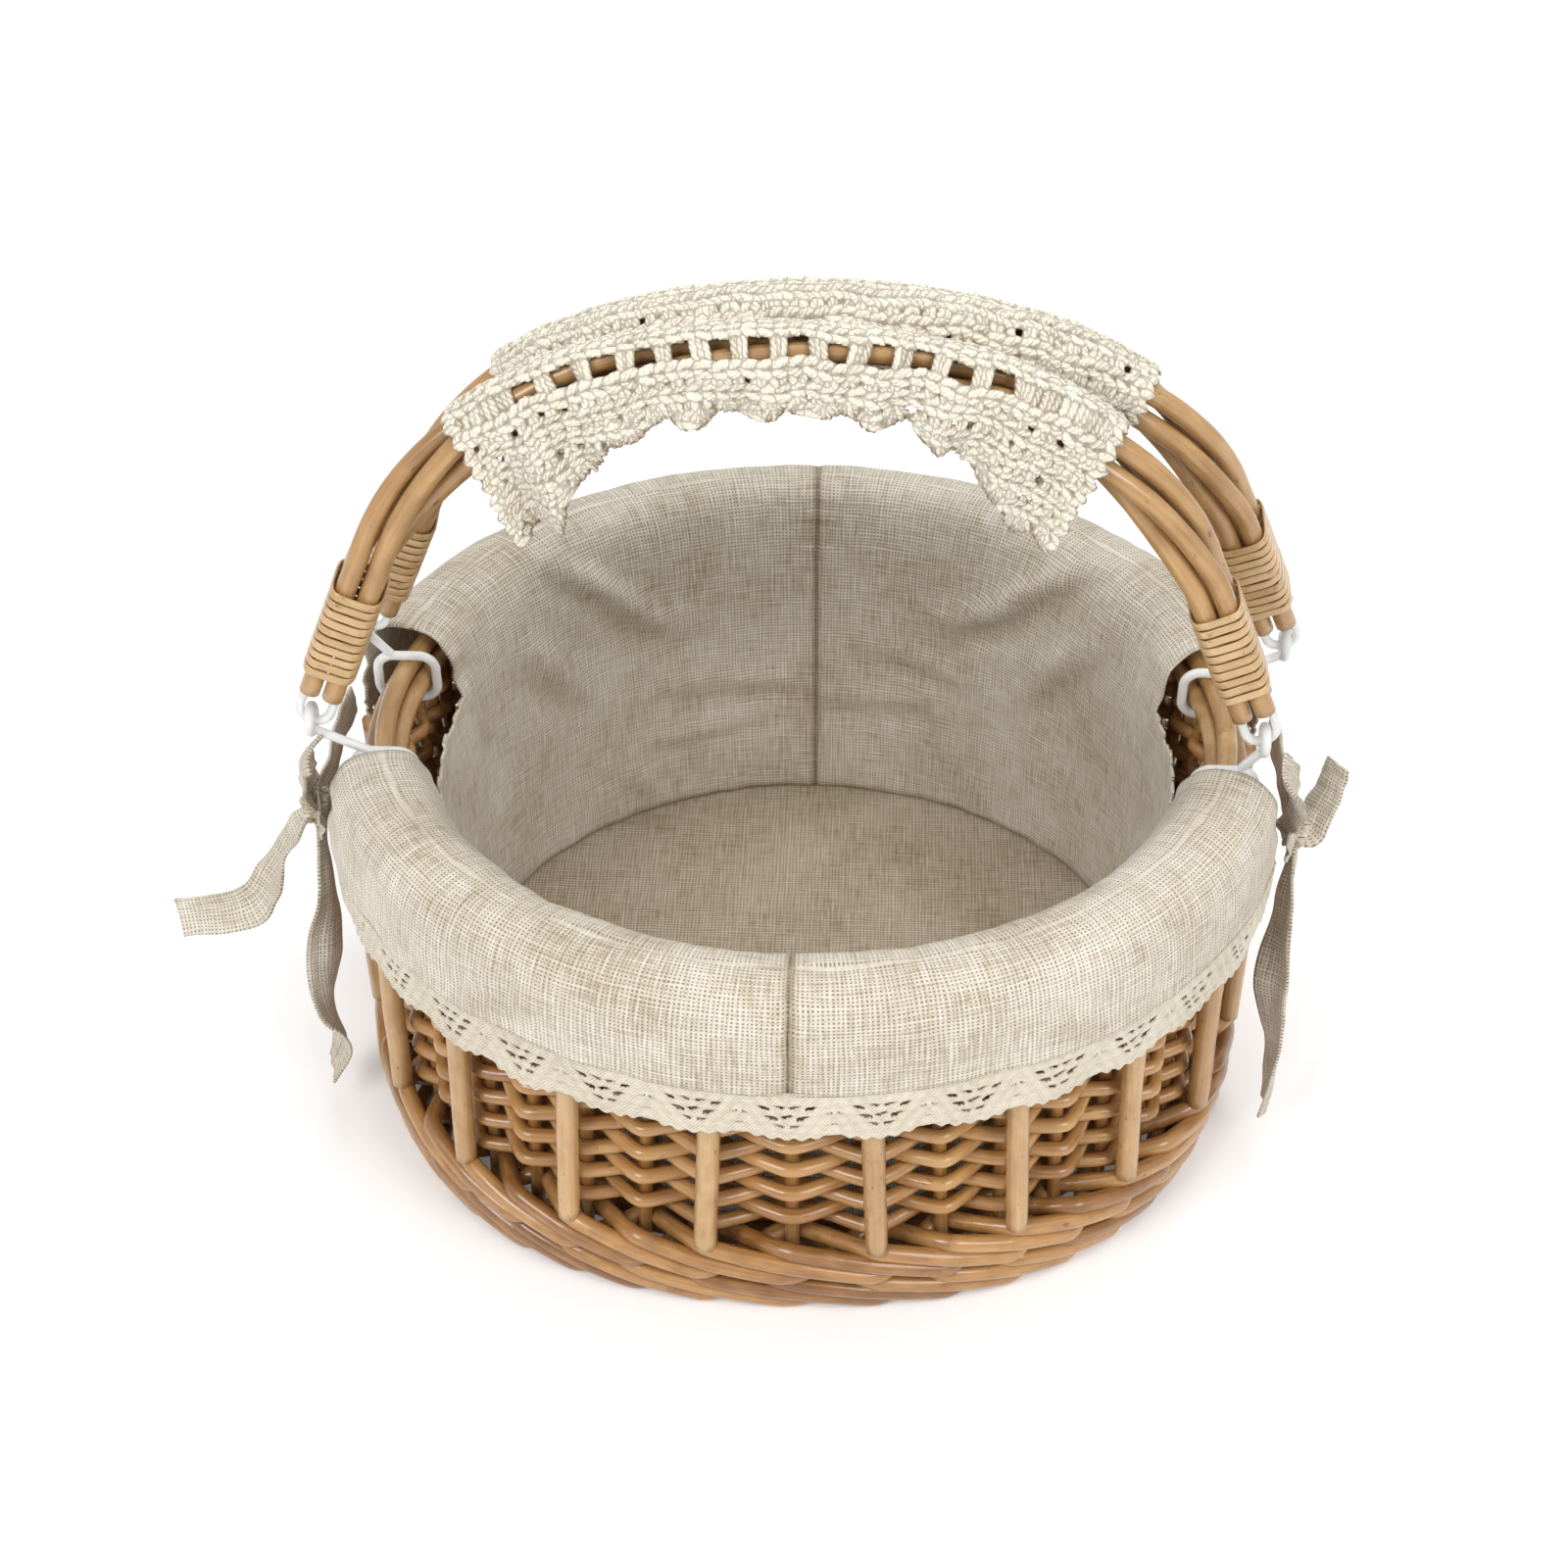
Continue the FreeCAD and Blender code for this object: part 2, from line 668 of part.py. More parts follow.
# ---------------------------------------------------------------- ties
def ribbon(start, end, wide_dir, width, thick):
    """A flat strip between two points, wide along wide_dir."""
    ahead = end - start
    wide = (wide_dir - ahead * (wide_dir.dot(ahead) / ahead.dot(ahead))).normalize()
    normal = ahead.cross(wide).normalize()
    a = start - wide * (width / 2) - normal * (thick / 2)
    corners = [a, a + wide * width, a + wide * width + normal * thick, a + normal * thick]
    return Part.Face(Part.makePolygon(corners + corners[:1])).extrude(ahead)


def build_ties():
    """On each side a linen tie joins the two flaps: a band with its knot, and two tails of ribbon."""
    width = size("tie_width")
    thick = size("tie_thick")
    knot_radius = size("knot_radius")
    band_x = size("flap_semi") + 1.6
    band_low = 101.0
    tails = {
        -1: (Vector(-194, -32, 74), Vector(-153, -40, 12)),
        1: (Vector(160, -10, 114), Vector(146, -52, 16)),
    }
    for side, name in ((-1, "left"), (1, "right")):
        knot_at = Vector(side * (band_x + 1.0), -19, band_low + width / 2)
        band = Part.makeBox(thick, 64, width, Vector(side * band_x - thick / 2, -32, band_low))
        knot = Part.makeSphere(knot_radius)
        knot.rotate(Vector(0, 0, 0), Vector(0, 0, 1), 90 - side * 90)
        knot.translate(knot_at)
        feature(f"tie_knot_{name}", band.fuse(knot).removeSplitter())
        strips = []
        for end, wide in zip(tails[side], (Vector(0, 1, 0.4), Vector(0, 1, 0))):
            ahead = (end - knot_at).normalize()
            strips.append(ribbon(knot_at + ahead * (knot_radius + 4.6), end, wide, width, thick))
        feature(f"tie_tails_{name}", Part.makeCompound(strips))


# ---------------------------------------------------------------- build and write
build_base()
build_wale()
build_stakes()
build_uprights()
build_weavers()
border_crown = build_border()
build_liner()
build_lace()
build_straps(border_crown)
build_handles()
build_ties()
doc.recompute()

for obj in doc.Objects:
    if "Invalid" in obj.State or "Error" in obj.State:
        raise RuntimeError(f"{obj.Name} is {obj.State}")
os.makedirs("parts", exist_ok=True)
for obj in parts:
    shape = obj.Shape
    if shape.isNull() or not shape.isValid() or not shape.Solids:
        raise RuntimeError(f"{obj.Label} has no valid solid")
    if min(solid.Volume for solid in shape.Solids) <= 0:
        raise RuntimeError(f"{obj.Label} has a solid that is inside out")
    shape.exportStep(f"parts/{obj.Label}.step")
print(len(parts), "sub-parts,", sum(len(obj.Shape.Solids) for obj in parts), "solids")
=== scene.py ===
"""Looks of the flower girl basket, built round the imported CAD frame. Metres, +Z up, -Y is the front.

Every willow rod is a tube with its grain along it. The liner, lace, ties and crochet are cloth made here.
Base, and hinge plastic, stay as the CAD made them and get their own materials.
"""
import math
import random

import bpy
import numpy as np
from mathutils import Matrix, Vector, noise


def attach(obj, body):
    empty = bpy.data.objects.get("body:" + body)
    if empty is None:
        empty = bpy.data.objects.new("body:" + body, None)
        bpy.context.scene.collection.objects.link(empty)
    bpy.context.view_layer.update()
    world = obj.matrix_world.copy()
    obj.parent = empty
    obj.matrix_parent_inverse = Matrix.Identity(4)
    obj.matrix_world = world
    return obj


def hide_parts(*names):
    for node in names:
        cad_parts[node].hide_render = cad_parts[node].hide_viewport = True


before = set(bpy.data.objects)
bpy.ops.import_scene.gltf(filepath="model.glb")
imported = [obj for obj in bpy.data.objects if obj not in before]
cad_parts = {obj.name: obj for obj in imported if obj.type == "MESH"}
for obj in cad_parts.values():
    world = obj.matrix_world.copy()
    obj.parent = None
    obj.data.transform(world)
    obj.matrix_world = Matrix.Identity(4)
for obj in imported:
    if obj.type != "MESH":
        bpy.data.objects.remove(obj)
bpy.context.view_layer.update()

random.seed(645)
MM = 0.001
TAU = 2 * math.pi

# ---------------------------------------------------------------- dimensions shared with the CAD, in metres
OVAL = 0.88            # stakes' oval at the border: semi-axis along Y over semi-axis along X
FOOT_OVAL = 0.912      # the same at the floor
FOOT_POWER = 2.32      # the oval is an ellipse at the border, of power 2, and squarer at the floor
BORDER_Z = 0.122
FOOT_SEMI = 0.126
RIM_SEMI = 0.1285
RIM_HEIGHT = 0.130
STAKES = 40
STAKE_STEP = TAU / STAKES
STAKE_R = 0.0022
GAP = 0.0003           # between rods that lie on each other
UPRIGHT_LOW = 0.030
UPRIGHT_TOP = 0.122
UPRIGHT_SHORT_TOP = 0.109    # under a hinge
FIRST_ROW = 0.0322
LAST_ROW = 0.1130
WEAVER_R = 0.0023
WEAVER_SWING = 0.0049
WEAVER_ROWS = 17
UPRIGHT_R = 0.0034
UPRIGHT_OUT = STAKE_R + GAP + 2 * WEAVER_R + 3.9 * GAP + UPRIGHT_R
WALE_R = 0.0028
BORDER_R = 0.0031
CLOTH_OVAL = 0.905
HINGE_REACH = 0.141
HINGE_HALF = 0.023
HINGE_HEIGHT = 0.145
HANDLE_SHIFT = 0.005
HANDLE_TOP = 0.265
TOP_HALF = 0.011
CANE_R = 0.0032
CANE_END = 0.157
BOUND_TOP = 0.192
BOUND_LEAN = 0.019
RING_ROOM = 0.0014 + 0.0005 + CANE_R


# ---------------------------------------------------------------- mesh helpers
def unit(v):
    return v / np.maximum(np.linalg.norm(v, axis=-1, keepdims=True), 1e-12)


def wobble(x, y=0.0, z=0.0):
    """Smooth noise from -1 to 1, the same on each run."""
    return noise.noise(Vector((x, y, z)))


def wobbles(values, speed, seed):
    return np.array([wobble(v * speed, seed) for v in values])


class Bag:
    """Collects tubes and strips into one mesh, with a UV map in metres and a tone at each point. The tone
    holds each part's own colour variation and, in places, painted shade and painted light.
    """

    def __init__(self):
        self.points = []
        self.faces = []
        self.uvs = []
        self.tones = []
        self.count = 0

    def add(self, points, faces, uvs, tones):
        self.points.append(np.asarray(points, float))
        self.faces += [tuple(int(i) + self.count for i in f) for f in faces]
        self.uvs += uvs
        self.tones.append(np.broadcast_to(np.asarray(tones, float), len(points)))
        self.count += len(points)

    def build(self, name, material):
        mesh = bpy.data.meshes.new(name)
        mesh.from_pydata(np.concatenate(self.points).tolist(), [], self.faces)
        uv = mesh.uv_layers.new(name="UVMap")
        uv.data.foreach_set("uv", np.array([c for f in self.uvs for c in f], np.float32).ravel())
        tone = mesh.attributes.new("tone", "FLOAT", "POINT")
        tone.data.foreach_set("value", np.concatenate(self.tones).astype(np.float32))
        mesh.polygons.foreach_set("use_smooth", [True] * len(mesh.polygons))
        mesh.update()
        obj = bpy.data.objects.new(name, mesh)
        bpy.context.scene.collection.objects.link(obj)
        obj.data.materials.append(material)
        return obj


def frames(path, closed, upright):
    """Tangent, first and second cross direction at each point of a path."""
    tangent = np.roll(path, -1, 0) - np.roll(path, 1, 0)
    if not closed:
        tangent[0] = path[1] - path[0]
        tangent[-1] = path[-1] - path[-2]
    tangent = unit(tangent)
    if upright is not None:
        lead = np.broadcast_to(np.asarray(upright, float), path.shape)
        first = unit(lead - tangent * (lead * tangent).sum(1, keepdims=True))
    else:
        first = np.zeros_like(path)
        axis = np.eye(3)[np.argmin(np.abs(tangent[0]))]
        held = axis
        for i, t in enumerate(tangent):
            held = held - t * held.dot(t)
            held = held / np.linalg.norm(held)
            first[i] = held
    return tangent, first, np.cross(tangent, first)


def squared(values, power):
    return np.sign(values) * np.abs(values) ** power


def tube(bag, path, radius, tone=0.5, sides=10, closed=False, upright=None, flat=1.0, power=1.0):
    """Adds a tube along path. flat is its thickness over its width, and a power under 1 squares it."""
    path = np.asarray(path, float)
    n = len(path)
    radius = np.broadcast_to(np.asarray(radius, float), n)
    tangent, first, second = frames(path, closed, upright)
    turn = np.arange(sides) / sides * TAU
    wide, thick = squared(np.cos(turn), power), flat * squared(np.sin(turn), power)
    ring = first[:, None] * wide[None, :, None] + second[:, None] * thick[None, :, None]
    points = (path[:, None] + ring * radius[:, None, None]).reshape(-1, 3)
    run = np.concatenate([[0], np.cumsum(np.linalg.norm(np.diff(path, axis=0), axis=1))])
    tones = np.repeat(np.broadcast_to(np.asarray(tone, float), n), sides)
    faces, uvs = [], []
    around = TAU * float(radius.mean())
    start = random.random() * 3.0
    for i in range(n if closed else n - 1):
        j = (i + 1) % n
        u0 = start + run[i]
        u1 = start + (run[j] if j else run[i] + float(np.linalg.norm(path[0] - path[i])))
        for k in range(sides):
            m = (k + 1) % sides
            faces.append((i * sides + k, i * sides + m, j * sides + m, j * sides + k))
            v0, v1 = k / sides * around, (k + 1) / sides * around
            uvs.append(((u0, v0), (u0, v1), (u1, v1), (u1, v0)))
    if not closed:
        ends = [(0, -1), (n - 1, 1)]
        caps = [path[i] + tangent[i] * radius[i] * 0.3 * way for i, way in ends]
        points = np.concatenate([points, caps])
        tones = np.concatenate([tones, [tones[0] - 0.12, tones[-1] - 0.12]])
        for c, (i, way) in enumerate(ends):
            for k in range(sides):
                m = (k + 1) % sides
                face = (i * sides + m, i * sides + k, n * sides + c)
                faces.append(face if way < 0 else (face[1], face[0], face[2]))
                uvs.append(((start, 0), (start, 0.001), (start + 0.001, 0)))
    bag.add(points, faces, uvs, tones)


def grid(bag, points, us, vs, tones, keep=None):
    """Adds a sheet of rows by columns. keep says which cells stay."""
    rows, columns = points.shape[:2]
    faces, uvs = [], []
    for i in range(rows - 1):
        for j in range(columns - 1):
            if keep is not None and not keep[i, j]:
                continue
            corners = ((i, j), (i, j + 1), (i + 1, j + 1), (i + 1, j))
            faces.append(tuple(a * columns + b for a, b in corners))
            uvs.append(tuple((float(us[a, b]), float(vs[a, b])) for a, b in corners))
    bag.add(points.reshape(-1, 3), faces, uvs, np.asarray(tones, float).reshape(-1))


def spline(points, steps):
    """A smooth line through points, with this many samples in all."""
    p = np.asarray(points, float)
    p = np.concatenate([[2 * p[0] - p[1]], p, [2 * p[-1] - p[-2]]])
    spans = len(p) - 3
    out = []
    for x in np.linspace(0, spans, steps):
        i = min(int(x), spans - 1)
        t = x - i
        a, b, c, d = p[i:i + 4]
        out.append(0.5 * (2 * b + (c - a) * t + (2 * a - 5 * b + 4 * c - d) * t * t
                          + (3 * b - a - 3 * c + d) * t ** 3))
    return np.array(out)


def blank(rows, columns, tone=0.0):
    """Empty points, both cloth coordinates and tones for a sheet."""
    return (np.zeros((rows, columns, 3)), np.zeros((rows, columns)), np.zeros((rows, columns)),
            np.full((rows, columns), float(tone)))


def clean(obj):
    """Removes the points that no face uses."""
    used = np.zeros(len(obj.data.vertices), bool)
    for polygon in obj.data.polygons:
        used[list(polygon.vertices)] = True
    if used.all():
        return obj
    import bmesh
    work = bmesh.new()
    work.from_mesh(obj.data)
    work.verts.ensure_lookup_table()
    bmesh.ops.delete(work, geom=[v for v in work.verts if not used[v.index]], context="VERTS")
    work.to_mesh(obj.data)
    work.free()
    return obj


def thicken(obj, thickness, offset=0.0):
    solid = obj.modifiers.new("thickness", "SOLIDIFY")
    solid.thickness = thickness
    solid.offset = offset
    return obj


# ---------------------------------------------------------------- materials
class Nodes:
    """Short ways to add and link shader nodes."""

    def __init__(self, name):
        self.material = bpy.data.materials.new(name)
        self.material.use_nodes = True
        self.tree = self.material.node_tree
        self.shader = next(n for n in self.tree.nodes if n.type == "BSDF_PRINCIPLED")

    def link(self, source, target):
        self.tree.links.new(source, target)

    def feed(self, pairs):
        """Gives each socket its number or colour, or links it to another node's output."""
        for socket, value in pairs:
            if isinstance(value, (int, float)):
                socket.default_value = value
            elif isinstance(value, tuple):
                socket.default_value = (*value, 1.0)
            else:
                self.link(value, socket)

    def add(self, kind, **inputs):
        node = self.tree.nodes.new(kind)
        for key, value in inputs.items():
            node.inputs[key.replace("_", " ")].default_value = value
        return node

    def math(self, operation, a, b=0.0):
        node = self.tree.nodes.new("ShaderNodeMath")
        node.operation = operation
        self.feed(zip(node.inputs, (a, b)))
        return node.outputs[0]

    def attribute(self, name):
        node = self.tree.nodes.new("ShaderNodeAttribute")
        node.attribute_name = name
        return node.outputs["Fac"]

    def uv(self):
        node = self.tree.nodes.new("ShaderNodeUVMap")
        split = self.tree.nodes.new("ShaderNodeSeparateXYZ")
        self.link(node.outputs[0], split.inputs[0])
        return split.outputs[0], split.outputs[1]

    def vector(self, x, y, z=0.0):
        node = self.tree.nodes.new("ShaderNodeCombineXYZ")
        self.feed(zip(node.inputs, (x, y, z)))
        return node.outputs[0]

    def stretched(self, x, y, times_x, times_y, z=0.0):
        return self.vector(self.math("MULTIPLY", x, times_x), self.math("MULTIPLY", y, times_y), z)

    def noise(self, vector, scale=1.0, detail=3.0, roughness=0.55):
        node = self.add("ShaderNodeTexNoise", Scale=scale, Detail=detail, Roughness=roughness)
        self.link(vector, node.inputs["Vector"])
        return node.outputs["Fac"]

    def ramp(self, factor, stops):
        node = self.tree.nodes.new("ShaderNodeValToRGB")
        marks = node.color_ramp.elements
        while len(marks) < len(stops):
            marks.new(0.5)
        for mark, (place, colour) in zip(marks, stops):
            mark.position = place
            mark.color = (*colour, 1.0)
        self.link(factor, node.inputs[0])
        return node.outputs[0]

    def mix(self, kind, factor, a, b):
        node = self.tree.nodes.new("ShaderNodeMix")
        node.data_type = "RGBA"
        node.blend_type = kind
        self.feed(((node.inputs[0], factor), (node.inputs[6], a), (node.inputs[7], b)))
        return node.outputs[2]

    def bump(self, height, strength, distance):
        node = self.add("ShaderNodeBump", Strength=strength, Distance=distance)
        self.link(height, node.inputs["Height"])
        self.link(node.outputs[0], self.shader.inputs["Normal"])

    def span(self, value, low, high, to_low, to_high):
        node = self.tree.nodes.new("ShaderNodeMapRange")
        self.link(value, node.inputs[0])
        for socket, number in zip(node.inputs[1:5], (low, high, to_low, to_high)):
            socket.default_value = number
        return node.outputs[0]

    def set(self, **values):
        for key, value in values.items():
            self.shader.inputs[key.replace("_", " ")].default_value = value


def willow_material(name, stops, gloss, from_uv=True):
    """Varnished peeled willow: streaks along the rod, mottling, dark specks and a thin clear coat."""
    n = Nodes(name)
    if from_uv:
        u, v = n.uv()
        tone = n.attribute("tone")
        seed = n.math("MULTIPLY", tone, 31.0)
    else:
        place = n.add("ShaderNodeTexCoord")
        split = n.add("ShaderNodeSeparateXYZ")
        n.link(place.outputs["Object"], split.inputs[0])
        u, v = split.outputs[0], split.outputs[1]
        seed = split.outputs[2]
        tone = n.noise(n.stretched(u, v, 30.0, 30.0, seed), 1.0, 1.0)
    streak = n.noise(n.stretched(u, v, 26.0, 900.0, seed), 1.0, 4.0)
    mottle = n.noise(n.stretched(u, v, 70.0, 160.0, seed), 1.0, 2.0)
    grain = n.math("ADD", n.math("MULTIPLY", streak, 0.34), n.math("MULTIPLY", mottle, 0.36))
    level = n.math("ADD", n.math("MULTIPLY", tone, 0.62), n.math("SUBTRACT", grain, 0.15))
    colour = n.ramp(level, stops)
    speck = n.noise(n.stretched(u, v, 190.0, 420.0, seed), 1.0, 1.0)
    marks = n.span(speck, 0.70, 0.78, 0.0, 0.75)
    n.link(n.mix("MIX", marks, colour, (0.16, 0.075, 0.025)), n.shader.inputs["Base Color"])
    n.link(n.span(streak, 0.3, 0.7, gloss - 0.07, gloss + 0.13), n.shader.inputs["Roughness"])
    n.set(Coat_Weight=0.60, Coat_Roughness=0.13, IOR=1.5)
    n.bump(n.math("ADD", streak, mottle), 0.35, 0.0004)
    return n.material


def linen_material():
    """Open plain weave: threads pass over and under at a fixed pitch, with slubs and small holes. The holes
    are painted dark brown, partly the willow behind the thin cloth and partly painted shade, and the tone
    attribute darkens the cloth through the shade ramp.
    """
    n = Nodes("linen")
    u, v = n.uv()
    tone = n.attribute("tone")
    pitch = 0.00115
    waves = []
    for along, other, seed in ((u, v, 11.0), (v, u, 17.0)):
        wander = n.noise(n.stretched(along, other, 330.0, 70.0, seed), 1.0, 3.0)
        moved = n.math("ADD", along, n.math("MULTIPLY", wander, 0.0014))
        waves.append(n.math("SINE", n.math("MULTIPLY", moved, math.pi / pitch)))
    wave_u, wave_v = waves
    warp = n.math("ABSOLUTE", wave_u)
    weft = n.math("ABSOLUTE", wave_v)
    over = n.span(n.math("MULTIPLY", wave_u, wave_v), -1.0, 1.0, 0.25, 1.0)
    under = n.math("SUBTRACT", 1.25, over)
    height = n.math("MAXIMUM", n.math("MULTIPLY", warp, over), n.math("MULTIPLY", weft, under))
    slub_u = n.noise(n.stretched(u, v, 1050.0, 85.0), 1.0, 3.0)
    slub_v = n.noise(n.stretched(u, v, 85.0, 1050.0, 7.0), 1.0, 3.0)
    cloud = n.noise(n.stretched(u, v, 26.0, 26.0, 3.0), 1.0, 3.0)
    slub = n.math("MULTIPLY", n.math("ADD", slub_u, slub_v), 0.5)
    level = n.math("ADD", n.math("MULTIPLY", slub, 0.7), n.math("MULTIPLY", cloud, 0.3))
    thread = n.ramp(level, [(0.36, (0.36, 0.285, 0.185)), (0.49, (0.60, 0.54, 0.435)),
                            (0.62, (0.77, 0.725, 0.64))])
    # Painted shade: the openings between threads are darkened towards a dark brown, partly the willow behind
    # the cloth and partly shade in the gaps.
    opening = n.math("SUBTRACT", n.math("MAXIMUM", warp, weft), n.math("MULTIPLY", slub_v, 0.35))
    hole = n.span(opening, 0.20, 0.62, 0.85, 0.0)
    woven = n.mix("MIX", hole, thread, (0.13, 0.09, 0.05))
    shade = n.ramp(tone, [(0.0, (0.36, 0.29, 0.20)), (0.30, (0.72, 0.66, 0.57)), (0.50, (1.0, 1.0, 1.0))])
    shaded = n.mix("MULTIPLY", 1.0, woven, shade)
    n.link(shaded, n.shader.inputs["Base Color"])
    n.set(Roughness=0.92, Sheen_Weight=0.18, Sheen_Roughness=0.5)
    n.bump(n.math("ADD", n.math("MULTIPLY", height, 0.6), n.math("MULTIPLY", slub, 0.7)), 0.55, 0.0007)
    return n.material


def cotton_material(name, light, shade, ply, strength):
    """Cotton yarn: twisted plies across the strand, with a soft fuzzy sheen."""
    n = Nodes(name)
    u, v = n.uv()
    tone = n.attribute("tone")
    along, around = n.math("MULTIPLY", u, TAU / ply), n.math("MULTIPLY", v, TAU / ply * 1.1)
    twist = n.math("SINE", n.math("ADD", along, around))
    fibre = n.noise(n.stretched(u, v, 900.0, 2200.0, tone), 1.0, 3.0)
    patch = n.noise(n.stretched(u, v, 60.0, 60.0, tone), 1.0, 2.0)
    level = n.math("ADD", n.math("MULTIPLY", twist, 0.14), n.math("ADD", n.math("MULTIPLY", fibre, 0.5),
                                                                   n.math("MULTIPLY", patch, 0.3)))
    level = n.math("ADD", level, n.math("MULTIPLY", n.math("SUBTRACT", tone, 0.5), 0.9))
    n.link(n.ramp(level, [(0.05, shade), (0.55, light)]), n.shader.inputs["Base Color"])
    n.set(Roughness=0.88, Sheen_Weight=0.3, Sheen_Roughness=0.45, Subsurface_Weight=0.08)
    n.shader.inputs["Subsurface Radius"].default_value = (0.003, 0.002, 0.001)
    n.bump(n.math("ADD", n.math("MULTIPLY", twist, 0.5), fibre), strength, 0.0006)
    return n.material


def plastic_material():
    """Clear flexible plastic, a little cloudy, with faint flow lines."""
    n = Nodes("clear_plastic")
    place = n.add("ShaderNodeTexCoord")
    cloud = n.noise(place.outputs["Object"], 260.0, 3.0)
    tint = n.ramp(cloud, [(0.3, (0.88, 0.90, 0.89)), (0.7, (0.98, 0.98, 0.97))])
    n.link(tint, n.shader.inputs["Base Color"])
    n.link(n.span(cloud, 0.3, 0.7, 0.10, 0.24), n.shader.inputs["Roughness"])
    n.set(Transmission_Weight=0.35, IOR=1.40, Subsurface_Weight=0.3)
    n.shader.inputs["Subsurface Radius"].default_value = (0.004, 0.004, 0.004)
    n.bump(cloud, 0.12, 0.0003)
    return n.material


WILLOW_STOPS = [(0.10, (0.085, 0.030, 0.007)), (0.34, (0.25, 0.108, 0.028)), (0.55, (0.44, 0.225, 0.072)),
                (0.80, (0.62, 0.38, 0.155))]
THICK_STOPS = [(0.10, (0.095, 0.038, 0.010)), (0.34, (0.26, 0.132, 0.044)), (0.55, (0.43, 0.245, 0.095)),
               (0.80, (0.60, 0.39, 0.18))]
STRIP_STOPS = [(0.10, (0.14, 0.062, 0.017)), (0.34, (0.34, 0.19, 0.072)), (0.55, (0.50, 0.32, 0.145)),
               (0.80, (0.64, 0.46, 0.25))]
WILLOW = willow_material("willow", WILLOW_STOPS, 0.36)
THICK = willow_material("willow_thick", THICK_STOPS, 0.38)
STRIP = willow_material("willow_strip", STRIP_STOPS, 0.28)
WILLOW_CAD = willow_material("willow_base", WILLOW_STOPS, 0.42, from_uv=False)
LINEN = linen_material()
LACE = cotton_material("lace", (0.74, 0.675, 0.555), (0.40, 0.32, 0.21), 0.0011, 0.5)
CROCHET = cotton_material("crochet", (0.84, 0.775, 0.64), (0.30, 0.22, 0.12), 0.0017, 0.7)
PLASTIC = plastic_material()


# ---------------------------------------------------------------- wall curves
def wall_semi(z):
    return FOOT_SEMI + (RIM_SEMI - FOOT_SEMI) * np.asarray(z) / RIM_HEIGHT


def oval(semi, angle, offset, z):
    """Points on the wall's oval, moved out along its normal. The oval is squarer at the floor."""
    angle = np.asarray(angle, float)
    share = np.clip(np.asarray(z, float) / BORDER_Z, 0, 1)
    ratio = FOOT_OVAL + (OVAL - FOOT_OVAL) * share
    power = FOOT_POWER + (2 - FOOT_POWER) * share
    x, y = squared(np.cos(angle), 2 / power), squared(np.sin(angle), 2 / power)
    across, along = ratio * squared(x, power - 1), squared(y, power - 1)
    size = np.hypot(across, along)
    x = semi * x + offset * across / size
    y = ratio * semi * y + offset * along / size
    return np.stack([x, y, np.broadcast_to(z, x.shape)], axis=-1)


def finish_piece(obj, body, nodes):
    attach(obj, body)
    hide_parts(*nodes)
    return obj


def rod_tones(values, seed, spread=0.16, middle=0.52):
    """Each rod along a ring has its own tone, which drifts along it."""
    base = [middle + random.uniform(-spread, spread) for _ in range(4)]
    breaks = sorted(random.uniform(0, TAU) for _ in range(3))
    which = np.searchsorted(breaks, values)
    return np.array(base)[which] + 0.07 * wobbles(values, 6.0, seed)


def build_weavers():
    samples = STAKES * 14
    angle = np.arange(samples) / samples * TAU
    for row in range(WEAVER_ROWS):
        height = FIRST_ROW + row * (LAST_ROW - FIRST_ROW) / (WEAVER_ROWS - 1)
        side = -1.0 if row % 2 == 0 else 1.0
        beat = 0.975 * np.cos(angle / STAKE_STEP * math.pi)
        wave = side * np.arcsin(beat) / math.asin(0.975)
        z = height + 0.00045 * wobbles(angle, 5.0, row * 3.7) + 0.0003 * wobbles(angle, 17.0, row * 1.3)
        offset = WEAVER_SWING * wave + 0.0003 * wobbles(angle, 9.0, row * 5.1)
        radius = WEAVER_R * (1.0 + 0.09 * wobbles(angle, 2.2, row * 8.8) + 0.03 * wobbles(angle, 40.0, row))
        # Painted shade: each weaver is darkened where it swings in behind a stake.
        tone = rod_tones(angle, row) - 0.13 * np.clip(-wave, 0, 1)
        bag = Bag()
        tube(bag, oval(wall_semi(z), angle, offset, z), radius, tone, 10, True, (0, 0, 1))
        name = f"weaver_row_{row + 1:02d}"
        finish_piece(bag.build(f"row_{row + 1:02d}", WILLOW), "basket", [name])


def straight_rod(bag, angle, low, high, offset, radius, seed, tone, bend=0.0004):
    """An upright rod with a slight bend and a knot."""
    z = np.linspace(low, high, 26)
    drift = bend * wobbles(z, 40.0, seed)
    turn = angle + 0.5 * bend / FOOT_SEMI * wobbles(z, 30.0, seed + 9)
    path = oval(wall_semi(z), turn, offset + drift, z)
    knot = low + (high - low) * (0.3 + 0.5 * abs(wobble(seed, 4.4)))
    swell = 1 + 0.05 * wobbles(z, 60.0, seed + 5) + 0.07 * np.exp(-((z - knot) / 0.0016) ** 2)
    tube(bag, path, radius * swell, tone + 0.06 * wobbles(z, 50.0, seed), 12, False, (1, 0, 0.01))


def build_uprights():
    bag = Bag()
    for index in range(1, STAKES, 2):
        angle = index * STAKE_STEP
        under_hinge = abs(math.cos(angle)) > math.cos(1.5 * STAKE_STEP)
        low = UPRIGHT_LOW + 0.0014 * wobble(index, 2.0)
        high = UPRIGHT_SHORT_TOP if under_hinge else UPRIGHT_TOP
        tone = 0.58 + random.uniform(-0.13, 0.13)
        straight_rod(bag, angle, low, high, UPRIGHT_OUT, UPRIGHT_R, index * 1.7, tone)
    finish_piece(bag.build("uprights", THICK), "basket", ["outer_uprights"])
    bag = Bag()
    for index in range(STAKES):
        tone = 0.44 + random.uniform(-0.1, 0.1)
        straight_rod(bag, index * STAKE_STEP, 0.001, 0.1175, 0.0, STAKE_R, 50 + index * 2.3, tone, 0.0001)
    finish_piece(bag.build("stakes", WILLOW), "basket", ["side_stakes"])


